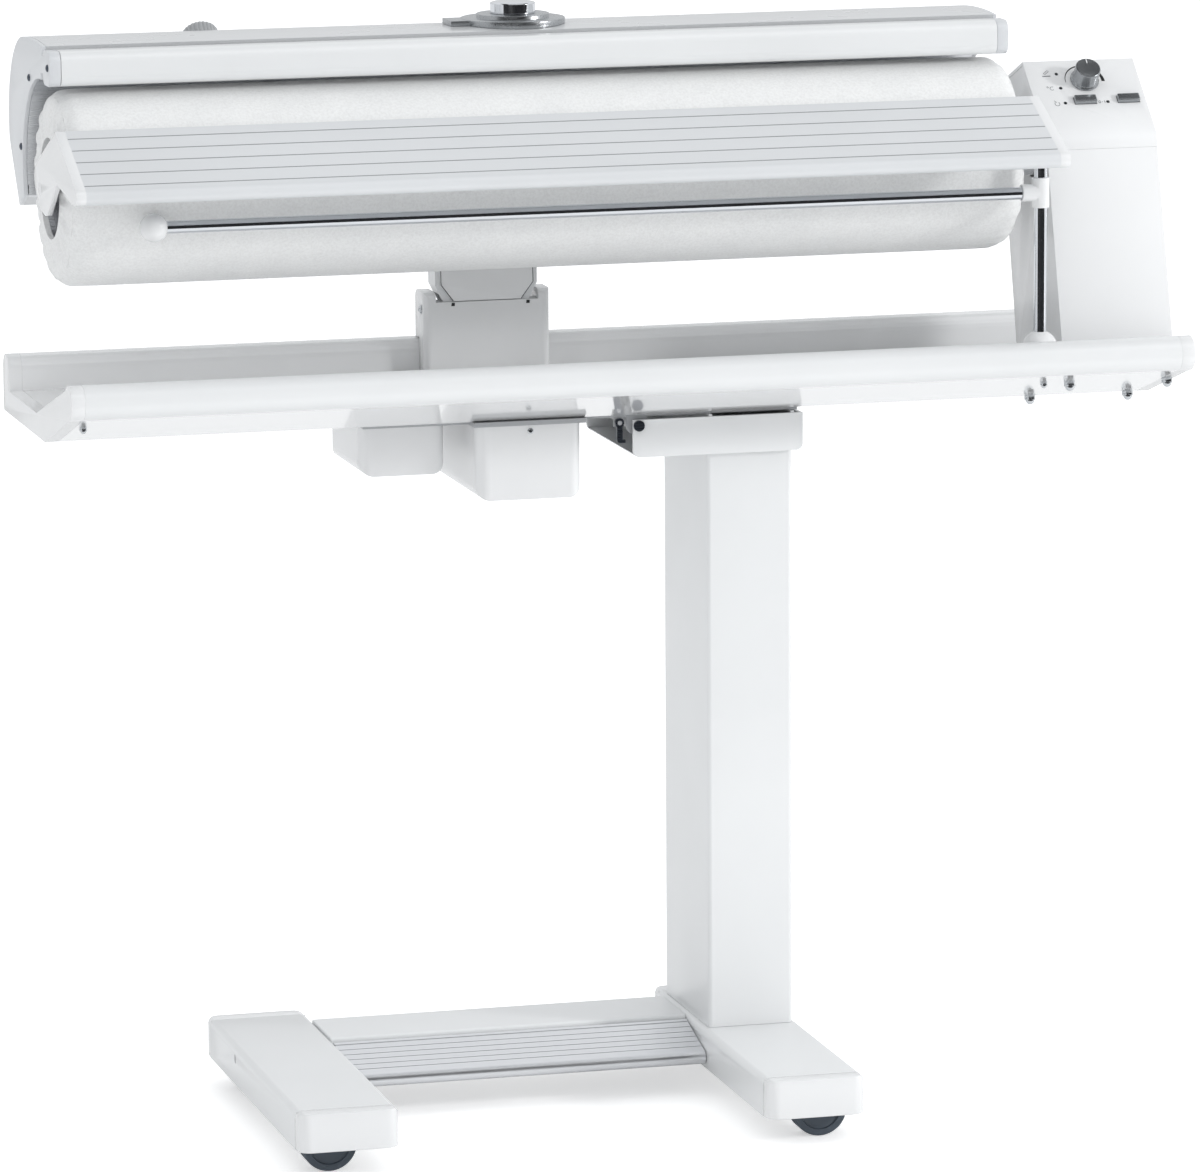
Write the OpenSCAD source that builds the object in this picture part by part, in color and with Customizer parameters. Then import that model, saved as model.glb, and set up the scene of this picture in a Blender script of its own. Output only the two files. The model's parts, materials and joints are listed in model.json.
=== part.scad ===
// Folding flatwork ironer on a castor stand: a driven, cloth-covered roller that is held at both ends
// of one fixed axle, a hinged heated shoe behind and over it, a laundry tray below, and a column
// with two feet. The whole upper machine swings up about the fold pin for storage.
// X runs along the roller, Y goes away from the person who sits at it, and Z goes up from the floor.

/* [Stand] */
// Length of each foot, front to back
foot_l = 376; // [340:1:420]
// Place of the front end of the feet
foot_front_y = -190; // [-210:1:-170]
// Width of each foot
foot_w = 88; // [80:1:100]
// Height of the foot channel
foot_h = 34; // [30:1:40]
// Height of the foot channel's open lower edge above the floor
foot_z = 24; // [20:1:26]
// Sheet thickness of the feet and of the cross beam
foot_wall = 2.5; // [2:0.5:3.5]
// Rounding of the feet's long upper edges
foot_edge_r = 6; // [3:0.5:9]
// Length of each moulded end cap
foot_cap_l = 17; // [12:1:26]
// Rounding of an end cap's corners in plan
foot_cap_r = 12; // [6:1:14]
// Distance between the centre lines of the two feet
foot_spacing = 411; // [380:1:440]
// Centre of the stand, measured from the middle of the tray
base_x = -73.5; // [-90:0.5:-60]
// Front face of the cross beam
beam_y = 72; // [66:1:90]
// Depth of the cross beam
beam_d = 76; // [60:1:90]
// Width of the column, along the roller
column_w = 77; // [66:1:84]
// Depth of the column
column_d = 143; // [110:1:150]
// Front face of the column
column_y = 16; // [4:1:30]
// Wall of the column tube
column_wall = 3; // [2:0.5:5]
// Rounding of the column's corners
column_r = 4; // [2:0.5:8]

/* [Castors] */
// Wheel radius
wheel_r = 24; // [20:1:25]
// Width over the two discs of one wheel
wheel_w = 22; // [18:1:30]
// Thickness of one disc
wheel_disc_w = 7.5; // [6:0.5:9]
// Offset of the wheel axle from the swivel axis
castor_trail = 11; // [9:0.5:12]
// Distance of each swivel axis from the end of its foot
castor_inset = 40; // [40:1:60]
// Swivel stem radius
stem_r = 5; // [4:0.5:6]
// Wheel axle radius
wheel_axle_r = 3; // [2.5:0.5:4]
// Running clearance of the castor pins, on the radius
castor_fit = 0.05; // [0.03:0.01:0.1]

/* [Treadle] */
// Front to back depth of the sloping foot plate
treadle_d = 66; // [50:1:80]
// Slope of the foot plate
treadle_angle = 14; // [8:1:20]
// Height of the upper rear edge of the foot plate
treadle_z = 56; // [50:1:58]
// Thickness of the foot plate
treadle_t = 5; // [4:0.5:7]
// Radius of the plate's rolled front edge
treadle_nose_r = 6; // [5:0.5:8]
// Radius of the treadle's hinge pin
treadle_pin_r = 4; // [3:0.5:5]
// Play of the treadle at each foot
treadle_gap = 1.2; // [0.6:0.2:3]
// Number of grip grooves
treadle_grooves = 6; // [3:1:9]
// Depth and width of a grip groove
groove_cut = 0.9; // [0.4:0.1:1.4]

/* [Fold joint] */
// Fold pin, measured from the middle of the tray
fold_x = 30; // [20:1:40]
// Height of the fold pin
fold_z = 599; // [590:1:610]
// Fold pin radius
fold_pin_r = 4; // [3:0.5:6]
// Running clearance of the fold pin
fold_fit = 0.05; // [0.03:0.01:0.1]
// Length of the column head channel
head_l = 153; // [140:1:165]
// Distance from the fold pin to the open end of the column head
head_lead = 5; // [4:0.5:6]
// Depth of the column head over both flanges
head_d = 159; // [150:1:170]
// Height of the column head
head_h = 33; // [28:1:36]
// Sheet thickness of the column head
head_wall = 3; // [2:0.5:4]

/* [Tray] */
// Overall length of the tray
tray_l = 986; // [960:1:1040]
// Length of each tray end cap
tray_cap_l = 12; // [8:1:16]
// Height of the tray floor
tray_floor_z = 630; // [626:1:640]
// Thickness of the hollow floor
tray_t = 20; // [16:1:24]
// Wall of the tray extrusion
tray_wall = 2.2; // [1.6:0.2:3]
// Front edge of the level part of the floor
tray_bend_y = 37; // [30:1:50]
// Rear face of the tray
tray_back_y = 190; // [180:1:200]
// Thickness of the back rail
back_rail_t = 26; // [20:1:30]
// Height of the back rail above the floor
back_rail_h = 31; // [24:1:40]
// Centre of the front rail
front_rail_y = -107; // [-115:1:-100]
// Height of the front rail's centre
front_rail_z = 659; // [652:1:664]
// Radius of the front rail
front_rail_r = 15; // [12:0.5:17]

/* [Roller] */
// Depth of the roller axis
roller_y = 13; // [5:1:20]
// Height of the roller axis
roller_z = 824.5; // [815:0.5:830]
// Left end of the roller tube
roller_x = -478; // [-480:1:-470]
// Length of the roller tube
roller_l = 833; // [800:1:840]
// Outer radius over the cloth
roller_r = 83.5; // [76:0.5:86]
// Thickness of the padding and cloth
padding_t = 6; // [4:0.5:8]
// Wall of the roller tube
tube_wall = 3; // [2:0.5:5]
// Radius of the opening that the gathered cloth leaves at each end
cloth_mouth_r = 44; // [38:1:56]
// Radius of the fixed axle
axle_r = 12.5; // [10:0.5:15]
// Outer radius of the two bearings
bearing_r = 26; // [22:0.5:30]
// Width of a bearing
bearing_w = 15; // [12:0.5:18]
// Running clearance of the bearings on the axle
bearing_fit = 0.05; // [0.03:0.01:0.1]
// Tooth size of the roller drive
gear_module = 1.25; // [1:0.05:1.4]
// Teeth of the roller gear
gear_teeth = 44; // [40:2:46]
// Teeth of the motor pinion
pinion_teeth = 14; // [12:2:18]
// Face width of the gears
gear_w = 10; // [8:1:14]
// Backlash between the gears, on the centre distance
gear_play = 0.35; // [0.2:0.05:0.6]

/* [Shoe] */
// Depth of the shoe's hinge axis
shoe_hinge_y = 156; // [155:1:158]
// Height of the shoe's hinge axis
shoe_hinge_z = 687; // [682:1:692]
// Angle by which the shoe stands open at rest
shoe_open = 3.3; // [2:0.1:5]
// Clearance between the closed shoe and the cloth
shoe_fit = 0.35; // [0.3:0.05:0.6]
// Thickness of the heated plate
shoe_plate_t = 9; // [6:0.5:12]
// Left end of the shoe
shoe_x = -488; // [-490:1:-484]
// Length of the shoe over its end plates
shoe_l = 842; // [820:1:860]
// Thickness of each shoe end plate
shoe_end_t = 4; // [3:0.5:6]
// Radius of the rounded rear of the shoe cover
cover_r = 76.5; // [70:0.5:80]
// Wall of the shoe cover
cover_wall = 2.4; // [1.8:0.2:3.2]
// Rise of the crown along the top of the shoe cover
cover_crown = 2; // [0.6:0.2:4]
// Depth of the finger guard rail
guard_d = 31; // [26:1:34]
// Height of the finger guard rail
guard_h = 29.5; // [26:0.5:34]
// Rounding of the finger guard rail
guard_r = 9; // [5:0.5:12]
// Wall of the finger guard rail
guard_wall = 2; // [1.4:0.2:3]
// Width of the swinging arm that carries the shoe
arm_w = 92; // [80:1:96]
// Middle of the arm, measured from the middle of the tray
arm_x = -70; // [-80:1:-60]
// Wall of the arm casting
arm_wall = 4; // [3:0.5:6]
// Radius of the arm's hinge pin
arm_pin_r = 4; // [3:0.5:4]
// Running clearance of the arm's hinge pin
arm_fit = 0.05; // [0.03:0.01:0.1]

/* [Shoe fittings] */
// Radius of the round flange on top of the shoe cover
flange_r = 45; // [38:1:48]
// Thickness of that flange
flange_t = 8; // [5:0.5:10]
// Place of the flange along the shoe
flange_x = -67; // [-80:1:-40]
// Depth of the flange's centre
flange_y = 58; // [56:1:62]
// Radius of the cap on the flange
filler_r = 19.5; // [15:0.5:24]
// Height of that cap
filler_h = 10.5; // [8:0.5:14]
// Place of the small fluted knob along the shoe
fluted_x = -319; // [-340:1:-300]
// Radius of the small fluted knob
fluted_r = 19; // [12:0.5:22]
// Height of the small fluted knob
fluted_h = 8; // [6:0.5:12]
// Radius of a heating rod
heater_r = 4; // [3:0.5:5]

/* [Neck] */
// Width of the neck casing over both cheeks
neck_w = 114; // [110:1:124]
// Front face of the neck casing
neck_y = 144; // [140:1:146]
// Rear face of the neck casing above the back rail
neck_back_y = 178; // [174:1:186]
// Height of the top of the neck's cheeks
neck_top_z = 703; // [700:1:712]
// Wall of the neck casing
neck_wall = 3; // [2.4:0.2:4]
// Rounding of the neck casing's front corners
neck_r = 7; // [4:0.5:9]

/* [Feed board] */
// Depth of the board's upper rear edge
feed_rear_y = -58.5; // [-62:0.5:-54]
// Height of the board's upper rear edge
feed_rear_z = 881; // [876:1:886]
// Sloping length of the flat of the board
feed_l = 94; // [70:1:100]
// Slope of the board
feed_angle = 24.5; // [20:0.5:34]
// Thickness of the board
feed_t = 5; // [4:0.5:8]
// Radius of the board's rounded front edge
feed_nose_r = 7; // [5:0.5:9]
// Left face of the left bracket
feed_x = -490.8; // [-492:0.2:-487]
// Right face of the right bracket
feed_right_x = 370; // [360:1:374]
// Thickness of each bracket
feed_plate_t = 4; // [3:0.5:5]
// Width of each end piece of the board
feed_cap_w = 8.5; // [6:0.5:12]
// Number of grooves along the board
feed_grooves = 5; // [3:1:7]

/* [Drying rail] */
// Place of the post along the machine
post_x = 363; // [358:1:368]
// Depth of the post
post_y = -87; // [-90:1:-84]
// Radius of the post and of the rail
rod_r = 5.5; // [4.5:0.5:6.5]
// Height of the post's top
post_top_z = 846; // [830:1:848]
// Radius of the post's domed foot
post_foot_r = 15.5; // [13:0.5:18]
// Height of the rail
rail_z = 801; // [780:1:810]
// Left end of the rail
rail_x = -408; // [-430:1:-380]
// Radius of the ball on the end of the rail
ball_r = 12; // [9:0.5:14]
// Outer radius of the clip's upright sleeve
clip_r = 7.6; // [7:0.2:9]
// Length of the clip's upright sleeve
clip_l = 26; // [20:1:32]
// Running clearance of the clip on the post
clip_fit = 0.05; // [0.03:0.01:0.1]

/* [Control housing] */
// Left face of the housing
housing_x = 389; // [386:1:392]
// Width of the housing
housing_w = 101; // [96:1:103]
// Depth of the front face at the tray
housing_front_y = -71; // [-76:1:-66]
// Depth of the front face under the panel
housing_top_y = -23; // [-30:1:-18]
// Height of the front face under the panel
housing_top_z = 841; // [834:1:848]
// Depth of the ridge at the top of the panel
ridge_y = 43; // [38:1:50]
// Height of that ridge
ridge_z = 899; // [892:1:906]
// Depth of the housing's rear face at the tray
housing_back_y = 53; // [48:1:60]
// Wall of the housing
housing_wall = 2.6; // [2:0.2:3.4]
// Thickness of the panel plate
panel_t = 3; // [2:0.5:4]
// Height of the panel's front lip
panel_lip = 12; // [8:1:16]
// Radius of the temperature knob's cap
knob_r = 12; // [10:0.2:14]
// Height of the temperature knob
knob_h = 17; // [12:0.5:20]
// Radius of the temperature knob's skirt
knob_skirt_r = 14.5; // [13:0.5:17]
// Width of each push button
button_w = 20; // [16:0.5:22]
// Depth of each push button
button_d = 8; // [6:0.5:10]
// Travel of each push button
button_travel = 1.6; // [1:0.1:2.4]
// Radius of an indicator light
light_r = 1.5; // [1:0.1:2]

/* [Casings under the tray] */
// Width of the drive casing under the neck
drive_w = 94; // [84:1:96]
// Depth of the drive casing
drive_d = 168; // [150:1:174]
// Front face of the drive casing
drive_y = -2; // [-8:1:10]
// Height of the drive casing
drive_h = 69; // [60:1:70]
// Width of the small casing beside it
relay_w = 76; // [66:1:84]
// Depth of the small casing
relay_d = 117; // [100:1:130]
// Front face of the small casing
relay_y = 28; // [20:1:40]
// Height of the small casing
relay_h = 48; // [44:1:56]
// Wall of both casings
casing_wall = 2.6; // [2:0.2:3.4]
// Corner rounding of both casings
casing_r = 12; // [8:1:14]

/* [Hidden] */

$fn = 64;
over = 1;
touch_gap = 0.3;
white = "white";
pale = "gainsboro";
metal = "silver";
dark = "dimgray";

foot_top_z = foot_z + foot_h;
foot_rear_y = foot_front_y + foot_l;
left_foot_x = base_x - foot_spacing / 2;
right_foot_x = base_x + foot_spacing / 2;
column_x = right_foot_x - column_w / 2;
head_x = fold_x - head_lead;
head_y = column_y - (head_d - column_d) / 2;
head_top_z = fold_z + head_lead;
head_z = head_top_z - head_h;
tray_x = -tray_l / 2 + tray_cap_l;
tray_body_l = tray_l - 2 * tray_cap_l;
tray_bottom_z = tray_floor_z - tray_t;
treadle_spring_r = 5;
treadle_spring_wire = 1.4;
treadle_spring_turns = 5;
treadle_spring_y = beam_y - treadle_d / 2;
crown_t = 2;
crown_gap = 1;
crown_top_z = 2 * wheel_r + crown_gap + crown_t;
castor_ys = [foot_front_y + castor_inset, foot_rear_y - castor_inset];
castor_boss_r = 2.4 * stem_r;
castor_boss_h = foot_top_z - foot_wall - crown_top_z - touch_gap;
chassis_t = 4;
chassis_z = tray_bottom_z - chassis_t;
drive_x = arm_x - drive_w / 2;
tail_slot_y = shoe_hinge_y - 2 * arm_pin_r;
tail_slot_d = 3.5 * arm_pin_r;
slot_play = 2;
casing_gap = 20;
relay_x = drive_x - relay_w - casing_gap;

// Helpers for outlines

// Points of an arc about [x, y], radius r, from angle a to angle b, with n steps
function arc(x, y, r, a, b, n) = [for (i = [0:n]) let (t = a + (b - a) * i / n)
    [x + r * cos(t), y + r * sin(t)]];

// Extrudes a [Y, Z] outline along X, from x over length l
module along_x(x, l) {
    translate([x, 0, 0]) rotate([90, 0, 90]) linear_extrude(height = l) children();
}

// Extrudes an [X, Z] outline along Y, from y over length l
module along_y(y, l) {
    translate([0, y + l, 0]) rotate([90, 0, 0]) linear_extrude(height = l) children();
}

// Cylinder along X from x over length l, about [y, z]
module rod_x(x, l, y, z, r) {
    translate([x, y, z]) rotate([0, 90, 0]) cylinder(h = l, r = r);
}

// Cylinder along Y from y over length l, about [x, z]
module rod_y(y, l, x, z, r) {
    translate([x, y, z]) rotate([-90, 0, 0]) cylinder(h = l, r = r);
}

// Rectangle w by h from the corner [0, 0] with all corners rounded
module round_rect(w, h, r) {
    translate([r, 0]) square([w - 2 * r, h]);
    translate([0, r]) square([w, h - 2 * r]);
    for (x = [r, w - r], y = [r, h - r]) translate([x, y]) circle(r = r);
}

// Rectangle w by h from [0, 0] with only the two upper corners rounded
module arch_rect(w, h, r) {
    square([w, h - r]);
    translate([r, 0]) square([w - 2 * r, h]);
    for (x = [r, w - r]) translate([x, h - r]) circle(r = r);
}

// Box with four rounded upright corners
module round_box(size, r) {
    linear_extrude(height = size[2]) round_rect(size[0], size[1], r);
}

// Stand

module foot_section(inset) {
    translate([-foot_w / 2 + inset, foot_z - (inset > 0 ? over : 0)])
        arch_rect(foot_w - 2 * inset, foot_h - inset + (inset > 0 ? over : 0), foot_edge_r - inset);
}

module foot(x) {
    y = foot_front_y + foot_cap_l;
    l = foot_l - 2 * foot_cap_l;
    difference() {
        union() {
            translate([x, 0, 0]) difference() {
                along_y(y, l) foot_section(0);
                along_y(y - over, l + 2 * over) foot_section(foot_wall);
            }
            for (cy = castor_ys) translate([x, cy, foot_top_z - foot_wall - castor_boss_h])
                cylinder(h = castor_boss_h + foot_wall / 2, r = castor_boss_r);
        }
        for (cy = castor_ys) translate([x, cy, foot_top_z - foot_wall - castor_boss_h - over])
            cylinder(h = castor_boss_h + over, r = stem_r + castor_fit);
        rod_x(x - foot_w, 2 * foot_w, treadle_pin_y, treadle_pin_z, treadle_pin_r);
    }
}

module left_foot() { color(white) foot(left_foot_x); }

module right_foot() { color(white) foot(right_foot_x); }

// One end cap in plan, its flat rear edge on y = 0 and its rounded corners towards -y
module cap_plan(inset) {
    w = foot_w - 2 * inset;
    r = foot_cap_r - inset;
    translate([-w / 2, -foot_cap_l + inset]) {
        translate([r, 0]) square([w - 2 * r, r]);
        translate([0, r]) square([w, foot_cap_l - inset - r + (inset > 0 ? over : 0)]);
        for (cx = [r, w - r]) translate([cx, r]) circle(r = r);
    }
}

module end_cap() {
    difference() {
        intersection() {
            translate([0, 0, foot_z]) linear_extrude(height = foot_h) cap_plan(0);
            along_y(-foot_cap_l, foot_cap_l) foot_section(0);
        }
        translate([0, 0, foot_z - over]) linear_extrude(height = foot_h - foot_wall + over)
            cap_plan(foot_wall);
    }
}

module foot_end_caps() {
    color(white) for (x = [left_foot_x, right_foot_x]) {
        translate([x, foot_front_y + foot_cap_l, 0]) end_cap();
        translate([x, foot_rear_y - foot_cap_l, 0]) rotate([0, 0, 180]) end_cap();
    }
}

beam_x = left_foot_x + foot_w / 2;
beam_l = foot_spacing - foot_w;
beam_z = foot_z + foot_wall;
beam_h = foot_top_z - beam_z;
spring_seat_w = treadle_spring_r * 2 + 2 * foot_wall;
spring_seat_d = beam_y - treadle_spring_y + treadle_spring_r + foot_wall;

module beam_section(inset) {
    translate([beam_y + inset, beam_z - (inset > 0 ? over : 0)])
        arch_rect(beam_d - 2 * inset, beam_h - inset + (inset > 0 ? over : 0), foot_edge_r / 2 - inset / 2);
}

module cross_beam() {
    color(white) {
        difference() {
            along_x(beam_x, beam_l) beam_section(0);
            along_x(beam_x + foot_wall, beam_l - 2 * foot_wall) beam_section(foot_wall);
        }
        translate([base_x - spring_seat_w / 2, beam_y - spring_seat_d, beam_z])
            cube([spring_seat_w, spring_seat_d + foot_wall / 2, foot_wall]);
    }
}

module column() {
    color(white) translate([column_x, column_y, foot_top_z]) difference() {
        round_box([column_w, column_d, head_z - foot_top_z], column_r);
        translate([column_wall, column_wall, -over])
            round_box([column_w - 2 * column_wall, column_d - 2 * column_wall,
                head_z - foot_top_z + 2 * over],
                column_r - column_wall / 2);
    }
}

// The column head is a channel that is open upwards and at its left end
head_rest_z = chassis_z - touch_gap;
head_rib_x = column_x + column_w - column_wall;

module column_head() {
    color(white) difference() {
        union() {
            difference() {
                along_y(head_y, head_d) translate([head_x, head_z]) mirror([0, 1])
                    translate([0, -head_h]) arch_rect(head_l, head_h, 2 * head_wall);
                translate([head_x - over, head_y + head_wall, head_z + head_wall])
                    cube([head_l - head_wall + over, head_d - 2 * head_wall, head_h]);
            }
            for (x = [column_x, head_rib_x])
                translate([x, head_y + head_wall / 2, head_z + head_wall / 2])
                    cube([column_wall, head_d - head_wall, head_rest_z - head_z - head_wall / 2]);
        }
        rod_y(head_y - over, head_d + 2 * over, fold_x, fold_z, fold_pin_r);
    }
}

fold_head_r = fold_pin_r * 1.2;
fold_head_t = fold_pin_r * 0.6;

module fold_pin() {
    color(dark) {
        rod_y(head_y - fold_head_t / 2, head_d + fold_head_t, fold_x, fold_z, fold_pin_r);
        for (y = [head_y - fold_head_t, head_y + head_d]) rod_y(y, fold_head_t, fold_x, fold_z, fold_head_r);
    }
}

// Treadle: a grooved aluminium plate with a rolled front edge and a hinge tube under its rear edge

treadle_tube_r = treadle_pin_r * 1.75;
treadle_rear_y = beam_y - treadle_gap;
treadle_pin_y = treadle_rear_y - treadle_tube_r;
treadle_pin_z = treadle_z - treadle_tube_r - treadle_t / 3;
treadle_l = beam_l - 2 * treadle_gap;
treadle_x = beam_x + treadle_gap;
treadle_fit = 0.05;

module treadle_section() {
    translate([treadle_rear_y, treadle_z]) rotate(treadle_angle) {
        translate([-treadle_d, -treadle_t]) square([treadle_d - treadle_t, treadle_t]);
        translate([-treadle_t, -treadle_t / 2]) circle(r = treadle_t / 2);
        translate([-treadle_d, -treadle_nose_r]) circle(r = treadle_nose_r);
        for (k = [1, 2]) translate([-treadle_d * k / 3, -2 * treadle_t])
            square([treadle_t / 2, 1.5 * treadle_t]);
    }
    translate([treadle_pin_y, treadle_pin_z]) circle(r = treadle_tube_r);
}

module treadle() {
    color(metal) difference() {
        along_x(treadle_x, treadle_l) difference() {
            treadle_section();
            translate([treadle_rear_y, treadle_z]) rotate(treadle_angle)
                for (k = [1:treadle_grooves])
                    translate([-treadle_d * k / (treadle_grooves + 1) - groove_cut / 2, -groove_cut])
                        square([groove_cut, 2 * groove_cut]);
        }
        rod_x(treadle_x - over, treadle_l + 2 * over, treadle_pin_y, treadle_pin_z,
            treadle_pin_r + treadle_fit);
    }
}

module treadle_pin() {
    color(metal)
        rod_x(beam_x - 2 * foot_wall, beam_l + 4 * foot_wall, treadle_pin_y, treadle_pin_z, treadle_pin_r);
}

// Open coil of round wire about Z, standing on z = 0
module coil(r, wire, turns, h) {
    sides = 6;
    steps = turns * 12;
    centre = [for (i = [0:steps]) let (a = 360 * turns * i / steps)
        [r * cos(a), r * sin(a), wire / 2 + (h - wire) * i / steps]];
    points = [for (i = [0:steps]) let (a = 360 * turns * i / steps)
        for (k = [0:sides - 1]) let (b = 360 * k / sides)
            centre[i] + wire / 2 * [cos(b) * cos(a), cos(b) * sin(a), sin(b)]];
    walls = [for (i = [0:steps - 1], k = [0:sides - 1]) let (m = (k + 1) % sides, p = i * sides)
        [[p + k, p + m, p + sides + m], [p + k, p + sides + m, p + sides + k]]];
    first = [for (k = [1:sides - 2]) [0, k + 1, k]];
    last = [for (k = [1:sides - 2]) [steps * sides, steps * sides + k, steps * sides + k + 1]];
    polyhedron(points, concat([for (w = walls) w[0]], [for (w = walls) w[1]], first, last));
}

treadle_spring_z = beam_z + foot_wall;
treadle_spring_top_z = treadle_z - treadle_t / cos(treadle_angle)
    - (treadle_rear_y - treadle_spring_y + treadle_spring_r + treadle_spring_wire / 2) * tan(treadle_angle);

module treadle_spring() {
    color(metal) translate([base_x, treadle_spring_y, treadle_spring_z])
        coil(treadle_spring_r, treadle_spring_wire, treadle_spring_turns,
            treadle_spring_top_z - treadle_spring_z - touch_gap);
}

// Castors: a stem and a single blade between the two discs of each wheel

blade_t = wheel_w - 2 * wheel_disc_w - 2 * crown_gap;

module castor_fork(x, y, side) {
    color(dark) translate([x, y, 0]) {
        translate([0, 0, crown_top_z - crown_t / 2])
            cylinder(h = foot_top_z - foot_wall - crown_top_z - touch_gap
            + crown_t / 2, r = stem_r);
        translate([0, 0, crown_top_z - crown_t]) cylinder(h = crown_t, r = castor_boss_r);
        difference() {
            along_y(-blade_t / 2, blade_t) union() {
                translate([side * castor_trail, wheel_r]) circle(r = 3 * wheel_axle_r);
                polygon([[-side * castor_boss_r * 0.9, crown_top_z - crown_t / 2],
                    [side * castor_boss_r * 0.9, crown_top_z - crown_t / 2],
                    [side * (castor_trail + 2.6 * wheel_axle_r), wheel_r + wheel_axle_r],
                    [side * (castor_trail - 2.6 * wheel_axle_r), wheel_r - wheel_axle_r]]);
            }
            rod_y(-blade_t, 2 * blade_t, side * castor_trail, wheel_r, wheel_axle_r + castor_fit);
        }
    }
}

module castor_wheel(x, y, side) {
    tread_r = wheel_disc_w * 0.22;
    color(dark) translate([x + side * castor_trail, y, wheel_r]) rotate([90, 0, 0]) {
        translate([0, 0, -wheel_w / 2]) cylinder(h = wheel_w, r = wheel_axle_r);
        for (m = [0, 1]) mirror([0, 0, m]) rotate_extrude() polygon(concat(
            [[0, wheel_w / 2 - wheel_disc_w], [wheel_r - tread_r, wheel_w / 2 - wheel_disc_w]],
            arc(wheel_r - tread_r, wheel_w / 2 - wheel_disc_w + tread_r, tread_r, -90, 0, 4),
            arc(wheel_r - tread_r, wheel_w / 2 - tread_r, tread_r, 0, 90, 4),
            [[wheel_r * 0.76, wheel_w / 2], [wheel_r * 0.73, wheel_w / 2 - tread_r],
            [wheel_r * 0.3, wheel_w / 2 - tread_r], [wheel_r * 0.24, wheel_w / 2], [0, wheel_w / 2]]));
    }
}

// Chassis: a steel plate under the tray with two lugs on the fold pin

casing_lip = 3;
chassis_x = relay_x;
chassis_l = head_x + head_l - head_wall - touch_gap - chassis_x;
chassis_y = head_y + head_wall + chassis_t;
chassis_d = head_d - 2 * (head_wall + chassis_t);
lug_r = fold_pin_r * 2.3;
lug_t = chassis_t;
lug_gap = 0.5;
lever_ys = [chassis_y, chassis_y + chassis_d - lug_t];

module chassis() {
    color(metal) difference() {
        union() {
            translate([chassis_x, chassis_y, chassis_z]) cube([chassis_l, chassis_d, chassis_t]);
            translate([drive_x - casing_lip, drive_y - casing_lip, chassis_z])
                cube([drive_w + 2 * casing_lip, drive_d + 2 * casing_lip, chassis_t]);
            translate([relay_x - casing_lip / 3, relay_y - casing_lip / 3, chassis_z])
                cube([relay_w + casing_gap, relay_d + 2 / 3 * casing_lip, chassis_t]);
            for (y = lever_ys) along_y(y, lug_t) union() {
                translate([fold_x, fold_z]) circle(r = lug_r);
                translate([fold_x - lug_r, fold_z]) square([2 * lug_r, chassis_z - fold_z + chassis_t / 2]);
            }
            rod_y(chassis_y + lug_t / 2, chassis_d - lug_t, fold_x, fold_z, lug_r * 0.7);
            rod_y(latch_y - touch_gap, chassis_y - latch_y + lug_t, latch_pin_x, latch_pin_z, latch_pin_r);
            translate([latch_pin_x - 2 * latch_pin_r, chassis_y, latch_pin_z - 2 * latch_pin_r])
                cube([4 * latch_pin_r, lug_t, chassis_z - latch_pin_z + 2 * latch_pin_r + chassis_t / 2]);
        }
        rod_y(chassis_y - over, chassis_d + 2 * over, fold_x, fold_z, fold_pin_r + fold_fit);
        translate([arm_x - tail_w / 2 - slot_play, tail_slot_y, chassis_z - over])
            cube([tail_w + 2 * slot_play, tail_slot_d, chassis_t + 2 * over]);
    }
}

latch_t = 3;
latch_y = head_y + head_wall + lug_gap;
latch_pin_r = 2;
latch_pin_x = fold_x - lug_r - 3.4 * latch_pin_r;
latch_pin_z = chassis_z - 2.2 * latch_pin_r;
latch_l = 15;
latch_w = 5;

module fold_latch() {
    color(pale) difference() {
        along_y(latch_y, latch_t) union() {
            translate([latch_pin_x, latch_pin_z]) circle(r = 2 * latch_pin_r);
            translate([latch_pin_x - latch_w / 2, latch_pin_z - latch_l]) square([latch_w, latch_l]);
            translate([latch_pin_x, latch_pin_z - latch_l]) circle(r = latch_w / 2);
            translate([latch_pin_x, latch_pin_z - latch_l - latch_w / 2]) square([latch_w, latch_w / 2]);
        }
        rod_y(latch_y - over, latch_t + 2 * over, latch_pin_x, latch_pin_z, latch_pin_r + fold_fit);
    }
}

// Tray: one hollow extrusion with a sloping front, a level floor and a round-topped back rail

slope_top_y = front_rail_y + front_rail_r * 0.85;
slope_top_z = front_rail_z + front_rail_r * 0.6;
slope_low_y = front_rail_y - front_rail_r * 0.5;
slope_low_z = front_rail_z - front_rail_r * 0.85;
back_in_y = tray_back_y - back_rail_t;
back_top_z = tray_floor_z + back_rail_h;
back_edge_r = back_rail_t / 2;
keel_y = tray_bend_y - 1.75 * tray_t;

tray_outline = concat(
    [[slope_top_y, slope_top_z], [tray_bend_y, tray_floor_z], [back_in_y, tray_floor_z]],
    arc(back_in_y + back_edge_r, back_top_z - back_edge_r, back_edge_r, 180, 0, 12),
    [[tray_back_y, tray_bottom_z + tray_wall], [tray_back_y - tray_wall, tray_bottom_z],
    [keel_y, tray_bottom_z],
    [slope_low_y, slope_low_z], [front_rail_y, front_rail_z]]);

slope_run = tray_bend_y - slope_top_y;
slope_rise = slope_top_z - tray_floor_z;
// Height of the sloping floor over a depth y
function slope_z(y) = tray_floor_z + slope_rise * (tray_bend_y - y) / slope_run;

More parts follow.
